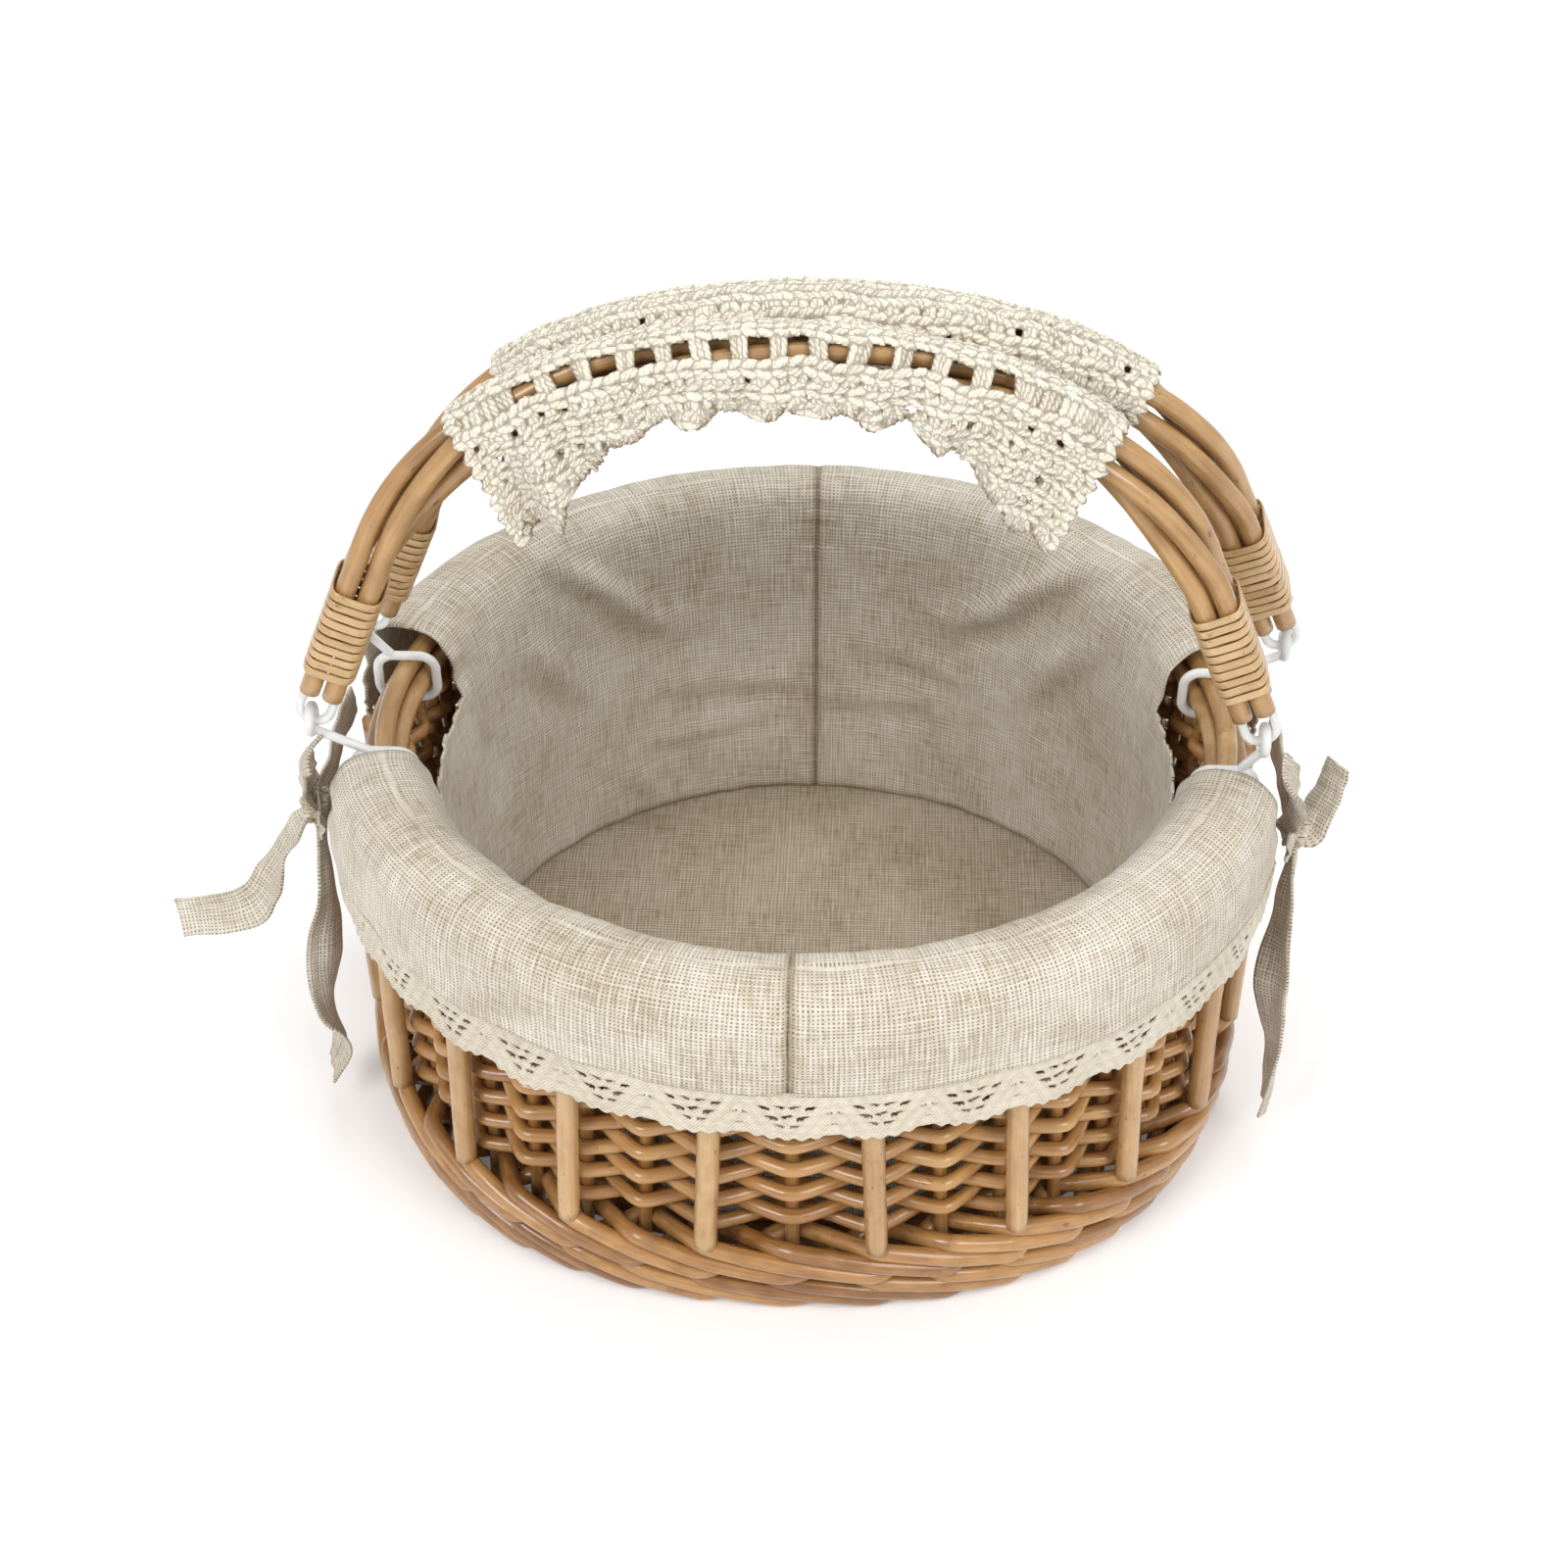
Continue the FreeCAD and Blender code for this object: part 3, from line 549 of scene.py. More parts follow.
def build_wale():
    """Two bands of wale, four rods each: a rod runs down outside three stakes, then goes behind one."""
    samples = STAKES * 12
    angle = np.arange(samples) / samples * TAU
    stake = angle / STAKE_STEP
    knots = np.array([0, 1, 2, 3, 4])
    bands = (("wale_low", 0.0080, 0.0052, ["wale_foot_rod", "wale_rod_1"]),
             ("wale_high", 0.0228, 0.0056, ["wale_rod_2", "wale_rod_3", "wale_rod_4"]))
    for name, middle, step, nodes in bands:
        bag = Bag()
        for phase in range(4):
            local = (stake + phase) % 4
            fine = np.linspace(0, 4, 401)
            out = np.interp(fine, knots, [-1.0, 1.0, 1.12, 1.0, -1.0])
            rise = np.interp(fine, knots, [0.0, 1.0, 0.05, -1.0, 0.0])
            blur = np.hanning(43) / np.hanning(43).sum()
            out = np.convolve(np.tile(out[:-1], 3), blur, "same")[400:800]
            rise = np.convolve(np.tile(rise[:-1], 3), blur, "same")[400:800]
            at = np.minimum((local * 100).astype(int), 399)
            z = middle + step * rise[at] + 0.0003 * wobbles(angle, 6.0, phase + middle * 900)
            z = np.maximum(z, WALE_R)
            far = 0.0066 + 0.0046 * np.clip(z / 0.018, 0, 1)
            near = -0.0012 if name == "wale_low" else -0.0045
            offset = near + (far - near) * (out[at] + 1) / 2
            radius = WALE_R * (1 + 0.07 * wobbles(angle, 3.0, phase * 7.7))
            z = np.maximum(z, radius)
            # Painted shade: each wale rod is darkened where it goes in behind a stake.
            tone = rod_tones(angle, phase + 20, 0.22, 0.44) - 0.16 * np.clip(-out[at], 0, 1)
            tube(bag, oval(wall_semi(z), angle, offset, z), radius, tone, 12, True, (0, 0, 1))
        finish_piece(bag.build(name, WILLOW), "basket", nodes)


def build_border():
    samples = 220
    angle = np.arange(samples) / samples * TAU
    side = BORDER_R + GAP
    top_z = BORDER_Z + 1.8 * BORDER_R + GAP
    for name, offset, z in (("inner", -side, BORDER_Z), ("outer", side, BORDER_Z), ("top", 0.0, top_z)):
        seed = offset * 4000 + 3
        bag = Bag()
        radius = BORDER_R * (1 + 0.05 * wobbles(angle, 3.0, seed) + 0.02 * wobbles(angle, 30.0, seed))
        line = oval(wall_semi(BORDER_Z), angle, offset, z)
        tube(bag, line, radius, rod_tones(angle, seed), 12, True, (0, 0, 1))
        finish_piece(bag.build(f"border_{name}", THICK), "basket", [f"border_{name}_rod"])


# ---------------------------------------------------------------- handles
BOUND_RISE = unit(np.array([-BOUND_LEAN, 0, BOUND_TOP - HINGE_HEIGHT]))


def arch(share):
    """Point and direction of a handle's centre line, from its right end (0) to its left end (1)."""
    pivot = np.array([HINGE_REACH, 0, HINGE_HEIGHT])
    low = pivot + BOUND_RISE * ((CANE_END - HINGE_HEIGHT) / BOUND_RISE[2])
    high = pivot + BOUND_RISE * ((BOUND_TOP - HINGE_HEIGHT) / BOUND_RISE[2])
    top = np.array([0, 0, HANDLE_TOP])
    local = min(share, 1 - share) * 2
    straight = 0.2
    if local <= straight:
        point = low + (high - low) * (local / straight)
        direction = BOUND_RISE.copy()
    else:
        t = (local - straight) / (1 - straight)
        a, b, c, d = high, high + BOUND_RISE * 0.046, top + np.array([0.068, 0, 0]), top
        point = a * (1 - t) ** 3 + 3 * b * t * (1 - t) ** 2 + 3 * c * t * t * (1 - t) + d * t ** 3
        direction = unit((b - a) * (1 - t) ** 2 + 2 * (c - b) * t * (1 - t) + (d - c) * t * t)
    if share > 0.5:
        point = point * np.array([-1, 1, 1])
        direction = direction * np.array([1, 1, -1])
    return point, direction


def handle_place(depth):
    """From a handle's own upright plane to where it stands at rest. depth is -1 in front, 1 at the rear."""
    lean = math.atan((HINGE_HALF - TOP_HALF) / (HANDLE_TOP - HINGE_HEIGHT))
    lift = Vector((0, 0, HINGE_HEIGHT))
    tilt = Matrix.Translation(lift) @ Matrix.Rotation(depth * lean, 4, "X") @ Matrix.Translation(-lift)
    return Matrix.Translation((depth * HANDLE_SHIFT, depth * HINGE_HALF, 0)) @ tilt


def placed(points, place):
    m = np.array(place)
    return np.asarray(points) @ m[:3, :3].T + m[:3, 3]


def cane_path(sign_in, sign_depth, seed):
    side = CANE_R + 0.0002
    samples = 110
    points = []
    for index in range(samples + 1):
        share = index / samples
        point, direction = arch(share)
        free = min(max((share - 0.125) / 0.75, 0.0), 1.0)
        middle = min(1.0, 8 * min(free, 1 - free))
        depth = RING_ROOM + (side - RING_ROOM) * middle
        turn = TAU * free
        across = np.array([-direction[2], 0, direction[0]])
        a, b = sign_in * side, sign_depth * depth
        slack = 1 + 0.10 * middle * (1 + wobble(share * 7, seed))
        swing = across * (a * math.cos(turn) - b * math.sin(turn)) * slack
        points.append(point + swing + np.array([0, (a * math.sin(turn) + b * math.cos(turn)) * slack, 0]))
    return np.array(points)


def build_canes(word, depth):
    place = handle_place(depth)
    for index, (a, b) in enumerate(((1, -1), (-1, -1), (-1, 1), (1, 1)), start=1):
        seed = index * 3.3 + depth
        path = placed(cane_path(a, b, seed), place)
        run = np.linspace(0, 1, len(path))
        radius = CANE_R * (0.97 + 0.03 * wobbles(run, 9.0, seed) + 0.02 * wobbles(run, 60.0, seed))
        tone = 0.52 + random.uniform(-0.1, 0.1) + 0.08 * wobbles(run, 12.0, seed)
        bag = Bag()
        tube(bag, path, radius, tone, 12)
        piece = bag.build(f"{word}_rod_{index}", THICK)
        finish_piece(piece, f"{word}_handle", [f"{word}_cane_{index}"])


def build_bindings(word, depth):
    """Ten turns of flat willow skein round each end, each turn a little aslant."""
    place = handle_place(depth)
    turns, pitch = 10, 0.0030
    half_x, half_y = 2 * CANE_R + 0.0002 + 0.0003 + 0.0006, RING_ROOM + CANE_R + 0.0003 + 0.0006
    foot, _ = arch(0.0)
    length = (BOUND_TOP - CANE_END) / BOUND_RISE[2]
    first = length - turns * pitch + 0.001
    for side, name in ((1, "right"), (-1, "left")):
        axis = BOUND_RISE * np.array([-side * -1, 1, 1])
        across = np.array([axis[2], 0, -axis[0]])
        bag = Bag()
        for index in range(turns):
            angle = np.arange(64) / 64 * TAU
            cos, sin = np.cos(angle), np.sin(angle)
            x, y = half_x * squared(cos, 0.42), half_y * squared(sin, 0.42)
            slant = 0.0008 * np.sin(angle + 0.4) + 0.0003 * wobbles(angle, 2.0, index + depth * 5)
            along = first + (index + 0.47) * pitch + slant
            centre = foot * np.array([side, 1, 1])
            path = centre + axis * along[:, None] + across * x[:, None] + np.array([0, 1.0, 0]) * y[:, None]
            tone = 0.60 + random.uniform(-0.12, 0.12) + 0.05 * wobbles(angle, 2.0, index)
            width = 0.00123 * random.uniform(0.93, 1.05)
            lead = placed(axis, place) - placed((0, 0, 0), place)
            tube(bag, placed(path, place), width, tone, 14, True, lead, 0.36, 0.62)
        piece = bag.build(f"{word}_wrap_{name}", STRIP)
        finish_piece(piece, f"{word}_handle", [f"{word}_binding_{name}"])


# ---------------------------------------------------------------- liner
def lining_semi(z):
    clear = STAKE_R + GAP + 2 * WEAVER_R + 0.0011
    return (OVAL * float(wall_semi(z)) - clear) / CLOTH_OVAL - 0.0014


FLOOR_Z = 0.0158
FLAP_Z = 0.105
LACE_Z = 0.085
FLAP_SEMI = 0.1466
PROFILE_POINTS = [
    (lining_semi(0.0144), FLOOR_Z + 0.0004), (lining_semi(0.045), 0.045), (lining_semi(0.08), 0.08),
    (lining_semi(0.114), 0.112), (lining_semi(0.114) + 0.0022, 0.127), (0.1215, 0.1358), (0.1300, 0.1386),
    (0.1385, 0.1365), (0.1437, 0.1300), (0.1460, 0.119), (FLAP_SEMI, FLAP_Z)]
PROFILE = spline(PROFILE_POINTS, 110)
PROFILE_RUN = np.concatenate([[0], np.cumsum(np.linalg.norm(np.diff(PROFILE, axis=0), axis=1))])
NOTCH_TURN = math.radians(14.3)

# creases: angle of the middle in degrees, height in metres, tilt, half length, half width, depth
CREASES = [(128, 0.118, 0.9, 0.022, 0.0042, 0.0040), (119, 0.100, 0.5, 0.020, 0.0050, 0.0026),
           (52, 0.120, -0.9, 0.026, 0.0042, 0.0046), (61, 0.104, -0.5, 0.022, 0.0046, 0.0030),
           (44, 0.098, -1.2, 0.024, 0.0050, 0.0034), (138, 0.092, 1.2, 0.022, 0.0050, 0.0030),
           (100, 0.066, 0.1, 0.030, 0.0034, 0.0014), (82, 0.058, -0.1, 0.030, 0.0034, 0.0014),
           (72, 0.078, 0.15, 0.026, 0.0030, 0.0013), (110, 0.048, -0.1, 0.026, 0.0030, 0.0012),
           (232, 0.118, 0.7, 0.018, 0.0045, 0.0020), (306, 0.118, -0.7, 0.018, 0.0045, 0.0020)]


def cloth_point(angle, r, z, lift):
    """A point of the liner: r is its semi-axis along X, and lift moves it off the cloth's own oval."""
    x, y = (r + lift) * math.cos(angle), (r + lift) * CLOTH_OVAL * math.sin(angle)
    return x, y, z


def cloth_lift(angle, z, inside):
    """How far the cloth stands off its plain shape: soft waves and creases. Inward is negative."""
    turn = math.degrees(angle) % 360
    soft = 0.0011 * wobble(angle * 5.0, z * 26.0, 1.0) + 0.0006 * wobble(angle * 15.0, z * 60.0, 5.0)
    lift = soft - 0.0008
    shade = 0.0
    for middle, height, tilt, half, wide, deep in CREASES:
        du = math.radians((turn - middle + 180) % 360 - 180) * 0.12
        dz = z - height
        along = (du + tilt * dz) / math.hypot(1, tilt)
        across = (dz - tilt * du) / math.hypot(1, tilt)
        if abs(along) < 3 * half and abs(across) < 5 * wide:
            ridge = math.exp(-(across / wide) ** 2) - 0.6 * math.exp(-((across + 1.9 * wide) / wide) ** 2)
            fade = math.exp(-(along / half) ** 2)
            lift -= deep * ridge * fade * (1.0 if inside else -0.5)
            shade -= 0.10 * math.exp(-((across + 1.9 * wide) / wide) ** 2) * fade
    return lift, shade


def build_liner_panel(word, start, node):
    columns = 190
    rows = len(PROFILE)
    angles = np.radians(start) + np.linspace(0, math.pi, columns)
    points, us, vs, tones = blank(rows, columns, 0.5)
    for i, (r, z) in enumerate(PROFILE):
        outside = PROFILE_RUN[i] > 0.130
        for j, angle in enumerate(angles):
            lift, shade = cloth_lift(angle, z, not outside)
            if outside:
                lift = abs(lift) * 0.8
            near_seam = min(j, columns - 1 - j) / columns * math.pi * 0.12
            seam = math.exp(-(near_seam / 0.0012) ** 2)
            pucker = math.exp(-(near_seam / 0.006) ** 2)
            lift += (0.0010 if not outside else -0.0010) * seam
            lift += 0.0005 * pucker * math.sin(z * 1100)
            edge = abs(math.degrees(math.asin(math.sin(angle))))
            from_notch = max(edge - math.degrees(NOTCH_TURN), 0.0)
            if z > 0.105 and not (outside and z < 0.112):
                curl = math.exp(-from_notch / 4.0) * min((z - 0.105) / 0.015, 1.0)
                lift += curl * 0.0022 * wobble(z * 120, math.cos(angle) * 3, 9.0) * (1 if outside else -1)
            floor_corner_shade = math.exp(-((z - FLOOR_Z) / 0.0025) ** 2)
            points[i, j] = cloth_point(angle, r, z, lift)
            us[i, j] = (angle + 4) * 0.121
            vs[i, j] = PROFILE_RUN[i]
            # Painted light and shade in the tone: the inner wall is a little lighter near its top edge; the
            # foot of the wall where it meets the floor and the puckers by the seam are darkened as painted
            # shade; the dark line at the seam is partly the seam itself and partly painted shade in its dip.
            lining = 0.50 + 0.02 * min(max((z - 0.118) / 0.02, 0.0), 1.0)
            plain = 0.5 if outside else lining
            tones[i, j] = plain + shade - 0.26 * seam - 0.10 * floor_corner_shade - 0.04 * pucker
    keep = np.ones((rows - 1, columns - 1), bool)
    for i in range(rows - 1):
        for j in range(columns - 1):
            middle = 0.5 * (angles[j] + angles[j + 1])
            sideways = abs(math.asin(math.sin(middle)))
            sag = 0.1115 + 0.0018 * math.sin(middle * 31)
            above = PROFILE_RUN[i] > 0.130 or PROFILE[i][1] > sag
            if sideways < NOTCH_TURN and above:
                keep[i, j] = False
    bag = Bag()
    grid(bag, points, us, vs, tones, keep)
    panel = clean(bag.build(f"liner_cloth_{word}", LINEN))
    thicken(panel, 0.0009)
    finish_piece(panel, "basket", [node])
    return panel


def build_liner_floor():
    rings, columns = 44, 180
    semi = lining_semi(0.0144)
    points = np.zeros((rings, columns + 1, 3))
    tones = np.full((rings, columns + 1), 0.5)
    for i in range(rings):
        share = 0.004 + 0.996 * i / (rings - 1)
        for j in range(columns + 1):
            angle = (j % columns) / columns * TAU
            x, y = semi * share * math.cos(angle), semi * share * CLOTH_OVAL * math.sin(angle)
            swell = 0.0008 * wobble(x * 26, y * 40, 2.0) + 0.0004 * wobble(x * 80, y * 80, 6.0)
            fold = math.exp(-((x * 0.5 + y + 0.066) / 0.0022) ** 2) * math.exp(-((x - 0.034) / 0.016) ** 2)
            z = FLOOR_Z - 0.0007 + 0.0008 + swell * (1 - share ** 8) + 0.0022 * fold
            points[i, j] = (x, y, z)
            # Tone of the floor cloth: darker overall, partly from the willow base under the thin cloth and
            # partly painted shade at the bottom of the basket; darker still as painted shade round its rim,
            # where it meets the wall, and in the fold.
            tones[i, j] = 0.34 - 0.16 * math.exp(-((1 - share) * semi / 0.0014) ** 2) - 0.07 * fold
    bag = Bag()
    grid(bag, points, points[:, :, 0], points[:, :, 1], tones)
    floor = bag.build("liner_cloth_floor", LINEN)
    finish_piece(floor, "basket", ["liner_floor"])
    return floor


# ---------------------------------------------------------------- lace
LACE_PERIOD = 0.0265
# eyelets of one repeat: distance along, share of the height down, half length, half height
EYELETS = [(-0.0066, 0.30, 0.0016, 0.0008), (-0.0022, 0.27, 0.0017, 0.0008), (0.0022, 0.27, 0.0017, 0.0008),
           (0.0066, 0.30, 0.0016, 0.0008), (-0.0044, 0.50, 0.0019, 0.0009), (0.0, 0.47, 0.0019, 0.0010),
           (0.0044, 0.50, 0.0019, 0.0009), (-0.0021, 0.69, 0.0015, 0.0008), (0.0021, 0.69, 0.0015, 0.0008),
           (0.0118, 0.40, 0.0010, 0.0005), (0.0147, 0.40, 0.0010, 0.0005), (0.0132, 0.64, 0.0010, 0.0005)]


def build_lace(word, start, node):
    edge = NOTCH_TURN
    columns = 820
    rows = 42
    angles = math.radians(start) + np.linspace(edge, math.pi - edge, columns)
    line = np.array([cloth_point(a, FLAP_SEMI, 0, 0)[:2] for a in angles])
    run = np.concatenate([[0], np.cumsum(np.linalg.norm(np.diff(line, axis=0), axis=1))])
    height = FLAP_Z - LACE_Z
    points, us, vs, tones = blank(rows, columns, 0.5)
    for j, angle in enumerate(angles):
        local = (run[j] + LACE_PERIOD / 2) % LACE_PERIOD - LACE_PERIOD / 2
        scallop = 0.86 + 0.14 * abs(math.cos(math.pi * local / LACE_PERIOD)) ** 0.7
        picot = 0.022 * math.cos(local * TAU / 0.0044)
        for i in range(rows):
            down = i / (rows - 1) * (scallop + picot)
            flare = 0.0004 + 0.0012 * wobble(run[j] * 55, down * 1.5, 4.0) * down - 0.0010 * down
            band = 0.00035 * math.cos(down * TAU * 5.0)
            z = FLAP_Z + 0.0010 - down * height
            points[i, j] = cloth_point(angle, FLAP_SEMI, z, flare + band)
            us[i, j] = run[j]
            vs[i, j] = down * height
            fan = math.cos(down * 16 + abs(local) * 1500)
            tones[i, j] = 0.52 + 0.06 * fan - (0.16 if down < 0.05 else 0.0)
    keep = np.ones((rows - 1, columns - 1), bool)
    for j in range(columns - 1):
        local = (run[j] + LACE_PERIOD / 2) % LACE_PERIOD - LACE_PERIOD / 2
        for i in range(rows - 1):
            down = vs[i, j] / height
            for u, v, half, tall in EYELETS:
                away = local - u
                if u > 0.010:
                    away = min(abs(local - u), abs(local + LACE_PERIOD - u))
                slant = 0.35 * away * (1 if u >= 0 else -1)
                if (away / half) ** 2 + (((down - v) * height + slant) / tall) ** 2 < 1:
                    keep[i, j] = False
    bag = Bag()
    grid(bag, points, us, vs, tones, keep)
    lace = clean(bag.build(f"lace_{word}_strip", LACE))
    thicken(lace, 0.0008)
    finish_piece(lace, "basket", [node])


# ---------------------------------------------------------------- ties
RIBBON_STEPS = 70


def ribbon_piece(name, path, width, wides, cup, tone=0.56):
    """A linen ribbon along a smooth line. wides are its width directions at the given points."""
    line = spline(path, RIBBON_STEPS)
    lead = unit(spline(wides, RIBBON_STEPS))
    tangent = unit(np.gradient(line, axis=0))
    lead = unit(lead - tangent * (lead * tangent).sum(1, keepdims=True))
    normal = np.cross(tangent, lead)
    columns = 13
    run = np.concatenate([[0], np.cumsum(np.linalg.norm(np.diff(line, axis=0), axis=1))])
    points, us, vs, tones = blank(RIBBON_STEPS, columns)
    for i in range(RIBBON_STEPS):
        share = i / (RIBBON_STEPS - 1)
        local = width * (0.55 + 0.45 * min(1.0, share * 5)) * (1 + 0.06 * wobble(share * 9, len(name)))
        for j in range(columns):
            across = j / (columns - 1) - 0.5
            curve = cup * (0.25 - across * across) * 4 + 0.0010 * wobble(share * 8, across * 3, len(name))
            crease = 0.0005 * math.cos(across * TAU * 1.5) * (1 - share)
            points[i, j] = line[i] + lead[i] * local * across + normal[i] * (curve + crease)
            us[i, j] = across * width
            vs[i, j] = run[i]
            # Painted light and shade across the cupped ribbon: its raised middle is lighter and its edges
            # darker.
            tones[i, j] = tone - (0.10 if abs(across) > 0.42 else 0) + 0.05 * (1 - abs(across) * 2)
    bag = Bag()
    grid(bag, points, us, vs, tones)
    piece = thicken(bag.build(name, LINEN), 0.0009)
    return piece, float(run[-1])


def knot_piece(name, centre, size):
    """A small tight knot of ribbon: a ball of folds with a band across it."""
    rows, columns = 26, 36
    points = np.zeros((rows, columns + 1, 3))
    tones = np.zeros((rows, columns + 1))
    for i in range(rows):
        polar = math.pi * (0.01 + 0.98 * i / (rows - 1))
        for j in range(columns + 1):
            turn = TAU * (j % columns) / columns
            folds = 0.13 * math.cos(turn * 5 + polar * 3) + 0.10 * math.cos(polar * 6 + turn)
            belt = 0.18 * math.exp(-((polar - math.pi / 2 - 0.3 * math.cos(turn)) / 0.32) ** 2)
            r = size * (0.86 + folds + belt)
            points[i, j] = (centre[0] + 0.80 * r * math.sin(polar) * math.cos(turn),
                            centre[1] + r * math.sin(polar) * math.sin(turn),
                            centre[2] + 1.1 * r * math.cos(polar))
            # Painted light and shade: the knot is darker overall as painted shade, and its tone follows its
            # folds, lighter on the raised ones and darker in the hollows.
            tones[i, j] = 0.40 + folds * 0.7
    bag = Bag()
    grid(bag, points, points[:, :, 1] * 1.3, points[:, :, 2] * 1.3, tones)
    return bag.build(name, LINEN)


def build_ties():
    """On each side: a band between the flaps, gathers drawn up to it, a knot and two tails."""
    width = 0.0132
    band_x = FLAP_SEMI + 0.0016
    knot_z = 0.107
    tails = {
        "left": {
            "out": ([(-0.1500, -0.021, 0.109), (-0.1590, -0.024, 0.098), (-0.1660, -0.028, 0.084),
                     (-0.1740, -0.031, 0.074), (-0.1950, -0.033, 0.071)],
                    [(0.2, 1, 0.3), (0.1, 1, 0.4), (-0.3, 0.8, 0.6), (-0.1, 0.5, 0.9), (0.0, 0.3, 1)]),
            "down": ([(-0.1490, -0.020, 0.104), (-0.1480, -0.030, 0.082), (-0.1500, -0.036, 0.060),
                      (-0.1520, -0.037, 0.040), (-0.1480, -0.040, 0.026), (-0.1525, -0.041, 0.013)],
                     [(0, 1, 0), (0.2, 1, 0), (0.7, 0.6, 0), (0.2, 1, 0.1), (-0.5, 0.8, 0), (-0.2, 1, 0.1)]),
        },
        "right": {
            "out": ([(0.1490, -0.020, 0.107), (0.1530, -0.018, 0.106), (0.1570, -0.014, 0.110),
                     (0.1605, -0.010, 0.1165), (0.1625, -0.007, 0.1230)],
                    [(0, 1, 0.3), (-0.2, 0.9, 0.3), (-0.4, 0.8, -0.1), (-0.3, 0.9, 0), (-0.2, 0.9, 0)]),
            "down": ([(0.1490, -0.021, 0.103), (0.1475, -0.032, 0.082), (0.1455, -0.042, 0.060),
                      (0.1480, -0.047, 0.040), (0.1465, -0.052, 0.018)],
                     [(0, 1, 0), (-0.2, 1, 0), (-0.6, 0.7, 0), (-0.2, 1, 0), (0.2, 1, 0)]),
        },
    }
    for side, name in ((-1, "left"), (1, "right")):
        band_path = [(side * (band_x - 0.0020), -0.031, 0.1075), (side * (band_x + 0.0006), -0.019, knot_z),
                     (side * band_x, 0.0, 0.1062), (side * (band_x - 0.0002), 0.018, 0.1068),
                     (side * (band_x - 0.0022), 0.031, 0.1075)]
        band, length = ribbon_piece(f"tie_band_{name}", band_path, width, [(0, 0, 1)] * 5, 0.0005)
        knot = knot_piece(f"tie_bow_{name}", (side * (band_x + 0.0012), -0.019, knot_z), 0.0062)
        gather_path = [(side * 0.1475, -0.0200, 0.110), (side * 0.1492, -0.0225, 0.119),
                       (side * 0.1478, -0.0262, 0.130), (side * 0.1440, -0.0300, 0.1375)]
        gather, gather_length = ribbon_piece(f"tie_gather_{name}", gather_path, 0.0150,
                                             [(0, 1, 0)] * 4, 0.0022, 0.50)
        finish_piece(band, "basket", [f"tie_knot_{name}"])
        finish_piece(knot, "basket", [f"tie_knot_{name}"])
        finish_piece(gather, "basket", [f"tie_knot_{name}"])
        for word, (path, wides) in tails[name].items():
            tail, run = ribbon_piece(f"tie_tail_{name}_{word}", path, width, wides, 0.0012)
            finish_piece(tail, "basket", [f"tie_tails_{name}"])


# ---------------------------------------------------------------- crochet
SLEEVE_R = 0.0085
SLEEVE_HALF = 0.0900
QUARTER = SLEEVE_R * math.pi / 2
YARN_R = 0.00116
CELL = 0.00045


class Stitches:
    """Crochet on a flat grid. Each strand raises the grid under it, and what no strand covers is a hole."""

    def __init__(self, half_u, half_v):
        self.first = (-half_u, -half_v)
        along, round_it = np.arange(-half_u, half_u, CELL), np.arange(-half_v, half_v, CELL)
        self.u, self.v = np.meshgrid(along, round_it, indexing="ij")
        self.top = np.full(self.u.shape, -1.0)
        self.shift = np.zeros((*self.u.shape, 2))
        self.thread = np.zeros((*self.u.shape, 2))
        self.tone = np.full(self.u.shape, 0.5)

    def piece(self, a, b, radius, run, tone):
        """One straight bit of a strand from a to b, each (u, v, height)."""
        reach = radius + CELL
        cut = []
        for k in (0, 1):
            low = int((min(a[k], b[k]) - reach - self.first[k]) / CELL)
            high = int((max(a[k], b[k]) + reach - self.first[k]) / CELL) + 2
            cut.append(slice(max(low, 0), max(high, 0)))
        window = tuple(cut)
        du, dv = b[0] - a[0], b[1] - a[1]
        length = math.hypot(du, dv) + 1e-9
        t = np.clip(((self.u[window] - a[0]) * du + (self.v[window] - a[1]) * dv) / length ** 2, 0, 1)
        off_u, off_v = self.u[window] - a[0] - t * du, self.v[window] - a[1] - t * dv
        away = np.hypot(off_u, off_v)
        height = a[2] + (b[2] - a[2]) * t + 0.95 * radius * np.sqrt(np.clip(1 - (away / radius) ** 2, 0, 1))
        better = (away < radius + 0.8 * CELL) & (height > self.top[window])
        over = np.maximum(away - radius, 0) / np.maximum(away, 1e-9)
        side = (off_v * du - off_u * dv) / length
        self.top[window][better] = height[better]
        self.shift[window][better] = np.stack([-off_u * over, -off_v * over], -1)[better]
        self.thread[window][better] = np.stack([run + t * length, side], -1)[better]
        self.tone[window][better] = tone
        return length

    def strand(self, ends, radius=YARN_R, bulge=0.0010, bend=0.0, lift=0.0):
        """A leg of a stitch between two places: it swells and rises towards its middle."""
        (u0, v0), (u1, v1) = ends
        steps = max(4, int(math.hypot(u1 - u0, v1 - v0) / 0.0011))
        tone = 0.5 + random.uniform(-0.14, 0.14)
        lift += random.uniform(0.0, 0.0003)
        size = radius * random.uniform(0.92, 1.08)
        run = random.random()
        path = []
        for i in range(steps + 1):
            t = i / steps
            arc = math.sin(math.pi * t)
            u = u0 + (u1 - u0) * t - (v1 - v0) * bend * arc
            v = v0 + (v1 - v0) * t + (u1 - u0) * bend * arc
            stray_u = 0.0017 * wobble(u * 95, v * 95, 1.0)
            stray_v = 0.0017 * wobble(u * 95, v * 95, 8.0)
            path.append((u + stray_u, v + stray_v, lift + bulge * arc, size * (0.84 + 0.22 * arc)))
        for a, b in zip(path, path[1:]):
            run += self.piece(a, b, 0.5 * (a[3] + b[3]), run, tone)


def arch_table():
    """The upper part of the handle's centre line by distance from its middle."""
    rows = [arch(share) for share in np.linspace(0.10, 0.90, 400)]
    points = np.array([row[0] for row in rows])
    directions = np.array([row[1] for row in rows])
    run = np.concatenate([[0], np.cumsum(np.linalg.norm(np.diff(points, axis=0), axis=1))])
    return run - run[-1] / 2, points, directions


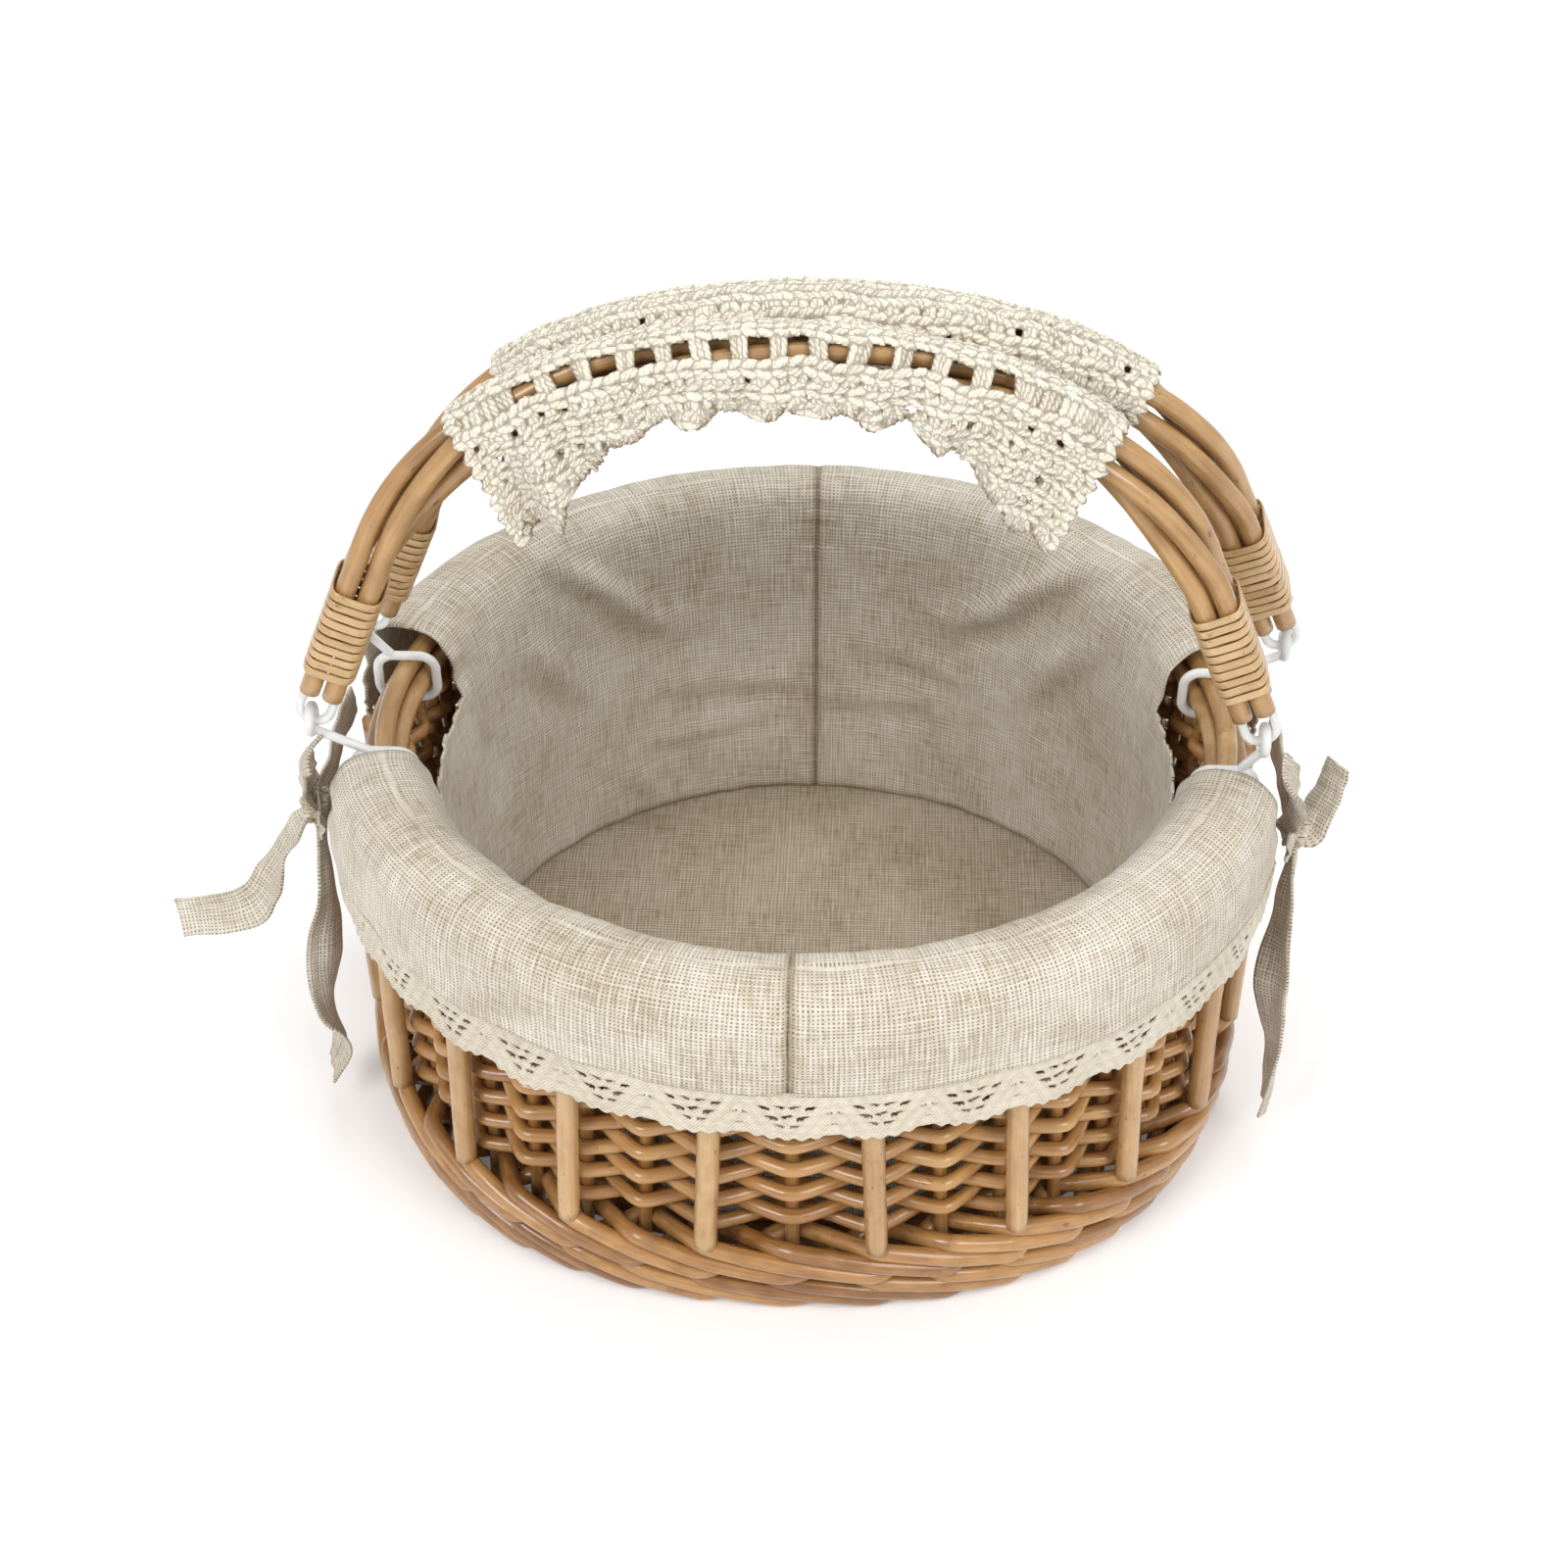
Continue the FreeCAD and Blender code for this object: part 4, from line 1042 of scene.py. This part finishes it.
def sleeve_points(u, v, lift, outer_side):
    """Places on the sleeve: u runs to the left along the handle, v round it from its top, lift is outward."""
    run, points, directions = arch_table()
    place = np.stack([np.interp(u, run, points[:, k]) for k in range(3)], -1)
    ahead = unit(np.stack([np.interp(u, run, directions[:, k]) for k in range(3)], -1))
    up = np.stack([-ahead[..., 2], 0 * u, ahead[..., 0]], -1)
    up = up * np.where(up[..., 2:3] < 0, -1.0, 1.0)
    side = np.where(v < 0, -1.0, 1.0)
    turn = np.minimum(np.abs(v), QUARTER) / SLEEVE_R
    drop = np.maximum(np.abs(v) - QUARTER, 0)
    hang = unit(-0.85 * up + np.array([0, 0, -0.15]))
    outer = (side == outer_side) * 1.0
    ruffle = np.sin(u * TAU / 0.0235 + 0.9) * (1 + 0.5 * np.sin(u * TAU / 0.061))
    flare = outer * (drop * 0.20 + np.minimum(drop, 0.018) * 0.22 * ruffle) + (1 - outer) * 0.0002
    r = SLEEVE_R + lift
    out = place + up * (r * np.cos(turn))[..., None] + hang * drop[..., None]
    out[..., 1] += side * (r * np.sin(turn) + flare)
    return out


def sleeve_drop(u, outer):
    """How far round the sleeve reaches at u: its ends hang much longer than its middle."""
    corner = math.exp(-((abs(u) - 0.082) / 0.0260) ** 2)
    scallop = 0.0026 * abs(math.sin(u / 0.0170 * math.pi))
    longer = 0.0190 if u > 0 else 0.0170
    return QUARTER + (0.0078 if outer else 0.0095) + scallop + (longer if outer else 0.014) * corner


def chain_row(sheet, side, place, u0, u1):
    """A line of chain stitches: each link is two legs that meet in a point."""
    u = u0
    while u < u1:
        v = side * (place + 0.0009 * wobble(u * 60, place * 300))
        for way in (-1, 1):
            ends = ((u, v + way * 0.00135), (min(u + 0.0052, u1), v + way * 0.0002))
            sheet.strand(ends, YARN_R * 0.92, 0.0008, way * 0.10, 0.0006)
        u += 0.0040 * random.uniform(0.93, 1.07)


def open_row(sheet, side, low, high):
    """The row of large holes: clustered posts with a slanting leg on each side."""
    u = -SLEEVE_HALF + 0.003
    while u < SLEEVE_HALF - 0.002:
        lean = random.uniform(-0.0021, 0.0021)
        for shift in (-0.0013, 0.0002, 0.0016):
            stray = random.uniform(-0.0006, 0.0006)
            top = (u + lean + shift * 0.7 + stray, side * high)
            sheet.strand(((u + shift, side * low), top), bulge=0.0006)
        for way in (-1, 1):
            middle = low + (high - low) * 0.50
            ends = ((u + lean + way * 0.0034, side * (high + 0.0003)), (u + lean * 0.6, side * middle))
            sheet.strand(ends, YARN_R * 0.85, 0.0004, way * 0.14)
        dense = abs(u) > 0.066
        if dense:
            for shift in (0.0036, 0.0056):
                sheet.strand(((u + shift, side * low), (u + shift + lean, side * high)), bulge=0.0006)
        u += (0.0083 if dense else 0.0110) * random.uniform(0.80, 1.20)


def fan_row(sheet, side, low, high, outer):
    """A close row of V stitches, left out where the sleeve is too short for it."""
    u = -SLEEVE_HALF + 0.0015
    while u < SLEEVE_HALF - 0.0015:
        if high <= sleeve_drop(u, outer) + 0.0004:
            lean = random.uniform(0.0006, 0.0032)
            foot = u + random.uniform(-0.0012, 0.0012)
            sheet.strand(((foot - 0.0003, side * low), (u - lean, side * high)), bend=0.06)
            sheet.strand(((foot + 0.0003, side * low), (u + lean, side * high)), bend=-0.06)
        u += 0.0044 * random.uniform(0.78, 1.22)


def edge_row(sheet, side, outer):
    """Shells along the lower edge: five legs spread from one foot, with a rounded rim."""
    u = -SLEEVE_HALF + 0.003
    while u < SLEEVE_HALF - 0.002:
        drop = sleeve_drop(u, outer)
        slope = (sleeve_drop(u + 0.001, outer) - sleeve_drop(u - 0.001, outer)) / 0.002
        slope = max(-1.6, min(1.6, slope))
        for spread in (-1.0, -0.5, 0.0, 0.5, 1.0):
            reach = 0.0034 * spread
            tip = (u + reach, side * (drop + slope * reach + 0.0012 - 0.0011 * spread ** 2))
            sheet.strand(((u, side * (drop - 0.0046)), tip), YARN_R * 0.95)
        u += 0.0068 * random.uniform(0.94, 1.06)


def build_sleeve(word, depth):
    """Chain rows joined by stitches, an open row near the top, and shells along the lower edges."""
    outer_side = -1.0 if depth < 0 else 1.0
    sheet = Stitches(SLEEVE_HALF + 0.006, 0.066)
    for side in (outer_side, -outer_side):
        outer = side == outer_side
        low, high = 0.0020, 0.0112
        chain_row(sheet, side, low, -SLEEVE_HALF, SLEEVE_HALF)
        if outer:
            open_row(sheet, side, low, high)
        row = high if outer else low
        while row < 0.056:
            begin = None
            for u in np.arange(-SLEEVE_HALF, SLEEVE_HALF + 0.002, 0.002):
                fits = row <= sleeve_drop(u, outer) - 0.0006 and u <= SLEEVE_HALF
                if fits and begin is None:
                    begin = u
                if not fits and begin is not None:
                    chain_row(sheet, side, row, begin, u)
                    begin = None
            fan_row(sheet, side, row, row + 0.0058, outer)
            row += 0.0058
        edge_row(sheet, side, outer)
        for end in (-1, 1):
            v = 0.0
            while v < sleeve_drop(end * SLEEVE_HALF, outer) - 0.002:
                middle = (end * (SLEEVE_HALF + 0.0030), side * (v + 0.0021))
                sheet.strand(((end * (SLEEVE_HALF - 0.001), side * v), middle), lift=0.0004)
                sheet.strand((middle, (end * (SLEEVE_HALF - 0.001), side * (v + 0.0042))), lift=0.0004)
                v += 0.0042
    u, v = sheet.u + sheet.shift[..., 0], sheet.v + sheet.shift[..., 1]
    covered = sheet.top > -0.5
    crumple = np.zeros_like(u)
    for i, j in zip(*np.nonzero(covered)):
        crumple[i, j] = 0.0008 * wobble(u[i, j] * 45, v[i, j] * 45, depth * 3.0)
    shade = 0.72 * np.clip(sheet.top / 0.0024, 0, 1) - 0.52
    lift = sheet.top + np.clip(crumple, -0.0003, 0.0006)
    points = placed(sleeve_points(u, v, lift, outer_side), handle_place(depth))
    keep = covered[:-1, :-1] & covered[1:, :-1] & covered[:-1, 1:] & covered[1:, 1:]
    bag = Bag()
    grid(bag, points, sheet.thread[..., 0], sheet.thread[..., 1], sheet.tone + shade, keep)
    piece = clean(bag.build(f"{word}_crochet", CROCHET))
    thicken(piece, 0.0006, -1.0)
    finish_piece(piece, f"{word}_handle", [f"{word}_crochet_sleeve"])


# ---------------------------------------------------------------- what stays as the CAD made it
def dress_cad_nodes():
    for name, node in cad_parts.items():
        if name.startswith("base_"):
            material = WILLOW_CAD
        elif name.startswith("hinge_strap") or name.endswith("hinge_rings"):
            material = PLASTIC
        else:
            continue
        node.data.materials.clear()
        node.data.materials.append(material)
        for polygon in node.data.polygons:
            polygon.use_smooth = True


# ---------------------------------------------------------------- stage, lights and camera
def build_stage():
    mesh = bpy.data.meshes.new("floor")
    half = 3.0
    low = -0.0002
    corners = [(-half, -half, low), (half, -half, low), (half, half, low), (-half, half, low)]
    mesh.from_pydata(corners, [], [(0, 1, 2, 3)])
    floor = bpy.data.objects.new("studio_floor", mesh)
    bpy.context.scene.collection.objects.link(floor)
    n = Nodes("floor")
    n.set(Base_Color=(0.90, 0.90, 0.90, 1), Roughness=0.9)
    n.set(Emission_Color=(1, 1, 1, 1), Emission_Strength=0.10)
    floor.data.materials.append(n.material)
    world = bpy.data.worlds.new("studio")
    world.use_nodes = True
    backdrop = world.node_tree.nodes["Background"]
    backdrop.inputs[0].default_value = (1.0, 1.0, 1.0, 1.0)
    backdrop.inputs[1].default_value = 0.58
    bpy.context.scene.world = world
    lights = (("key", (-0.75, -0.95, 1.15), 0.6, 11.5), ("fill", (0.90, -0.85, 1.10), 0.7, 10.5),
              ("rear", (0.10, 0.60, 1.40), 0.9, 8.0))
    for name, place, size, power in lights:
        data = bpy.data.lights.new(name, "AREA")
        data.size = size
        data.energy = power
        light = bpy.data.objects.new(name, data)
        light.location = place
        light.rotation_euler = (Vector((0, 0, 0.08)) - Vector(place)).to_track_quat("-Z", "Y").to_euler()
        bpy.context.scene.collection.objects.link(light)


def build_camera():
    """The photo's view: 43 degrees down, 2 degrees round to the right, from 0.9 m."""
    down, round_to = math.radians(43.0), math.radians(2.0)
    target = Vector((0, 0, 0.060))
    distance = 0.90
    level = distance * math.cos(down)
    data = bpy.data.cameras.new("camera")
    data.lens = 64.1
    data.sensor_width = 36.0
    data.shift_x = -0.0138
    data.shift_y = 0.0656
    data.clip_start = 0.01
    camera = bpy.data.objects.new("camera", data)
    high = distance * math.sin(down)
    camera.location = target + Vector((level * math.sin(round_to), -level * math.cos(round_to), high))
    camera.rotation_euler = (target - camera.location).to_track_quat("-Z", "Y").to_euler()
    bpy.context.scene.collection.objects.link(camera)
    bpy.context.scene.camera = camera


build_camera()
build_stage()
dress_cad_nodes()
build_weavers()
build_uprights()
build_wale()
build_border()
for handle_word, handle_depth in (("front", -1), ("rear", 1)):
    build_canes(handle_word, handle_depth)
    build_bindings(handle_word, handle_depth)
    build_sleeve(handle_word, handle_depth)
build_liner_floor()
build_liner_panel("right", -90, "liner_right_panel")
build_liner_panel("left", 90, "liner_left_panel")
build_lace("rear", 0, "lace_rear")
build_lace("front", 180, "lace_front")
build_ties()

bpy.context.scene.view_settings.view_transform = "Standard"
bpy.context.view_layer.update()
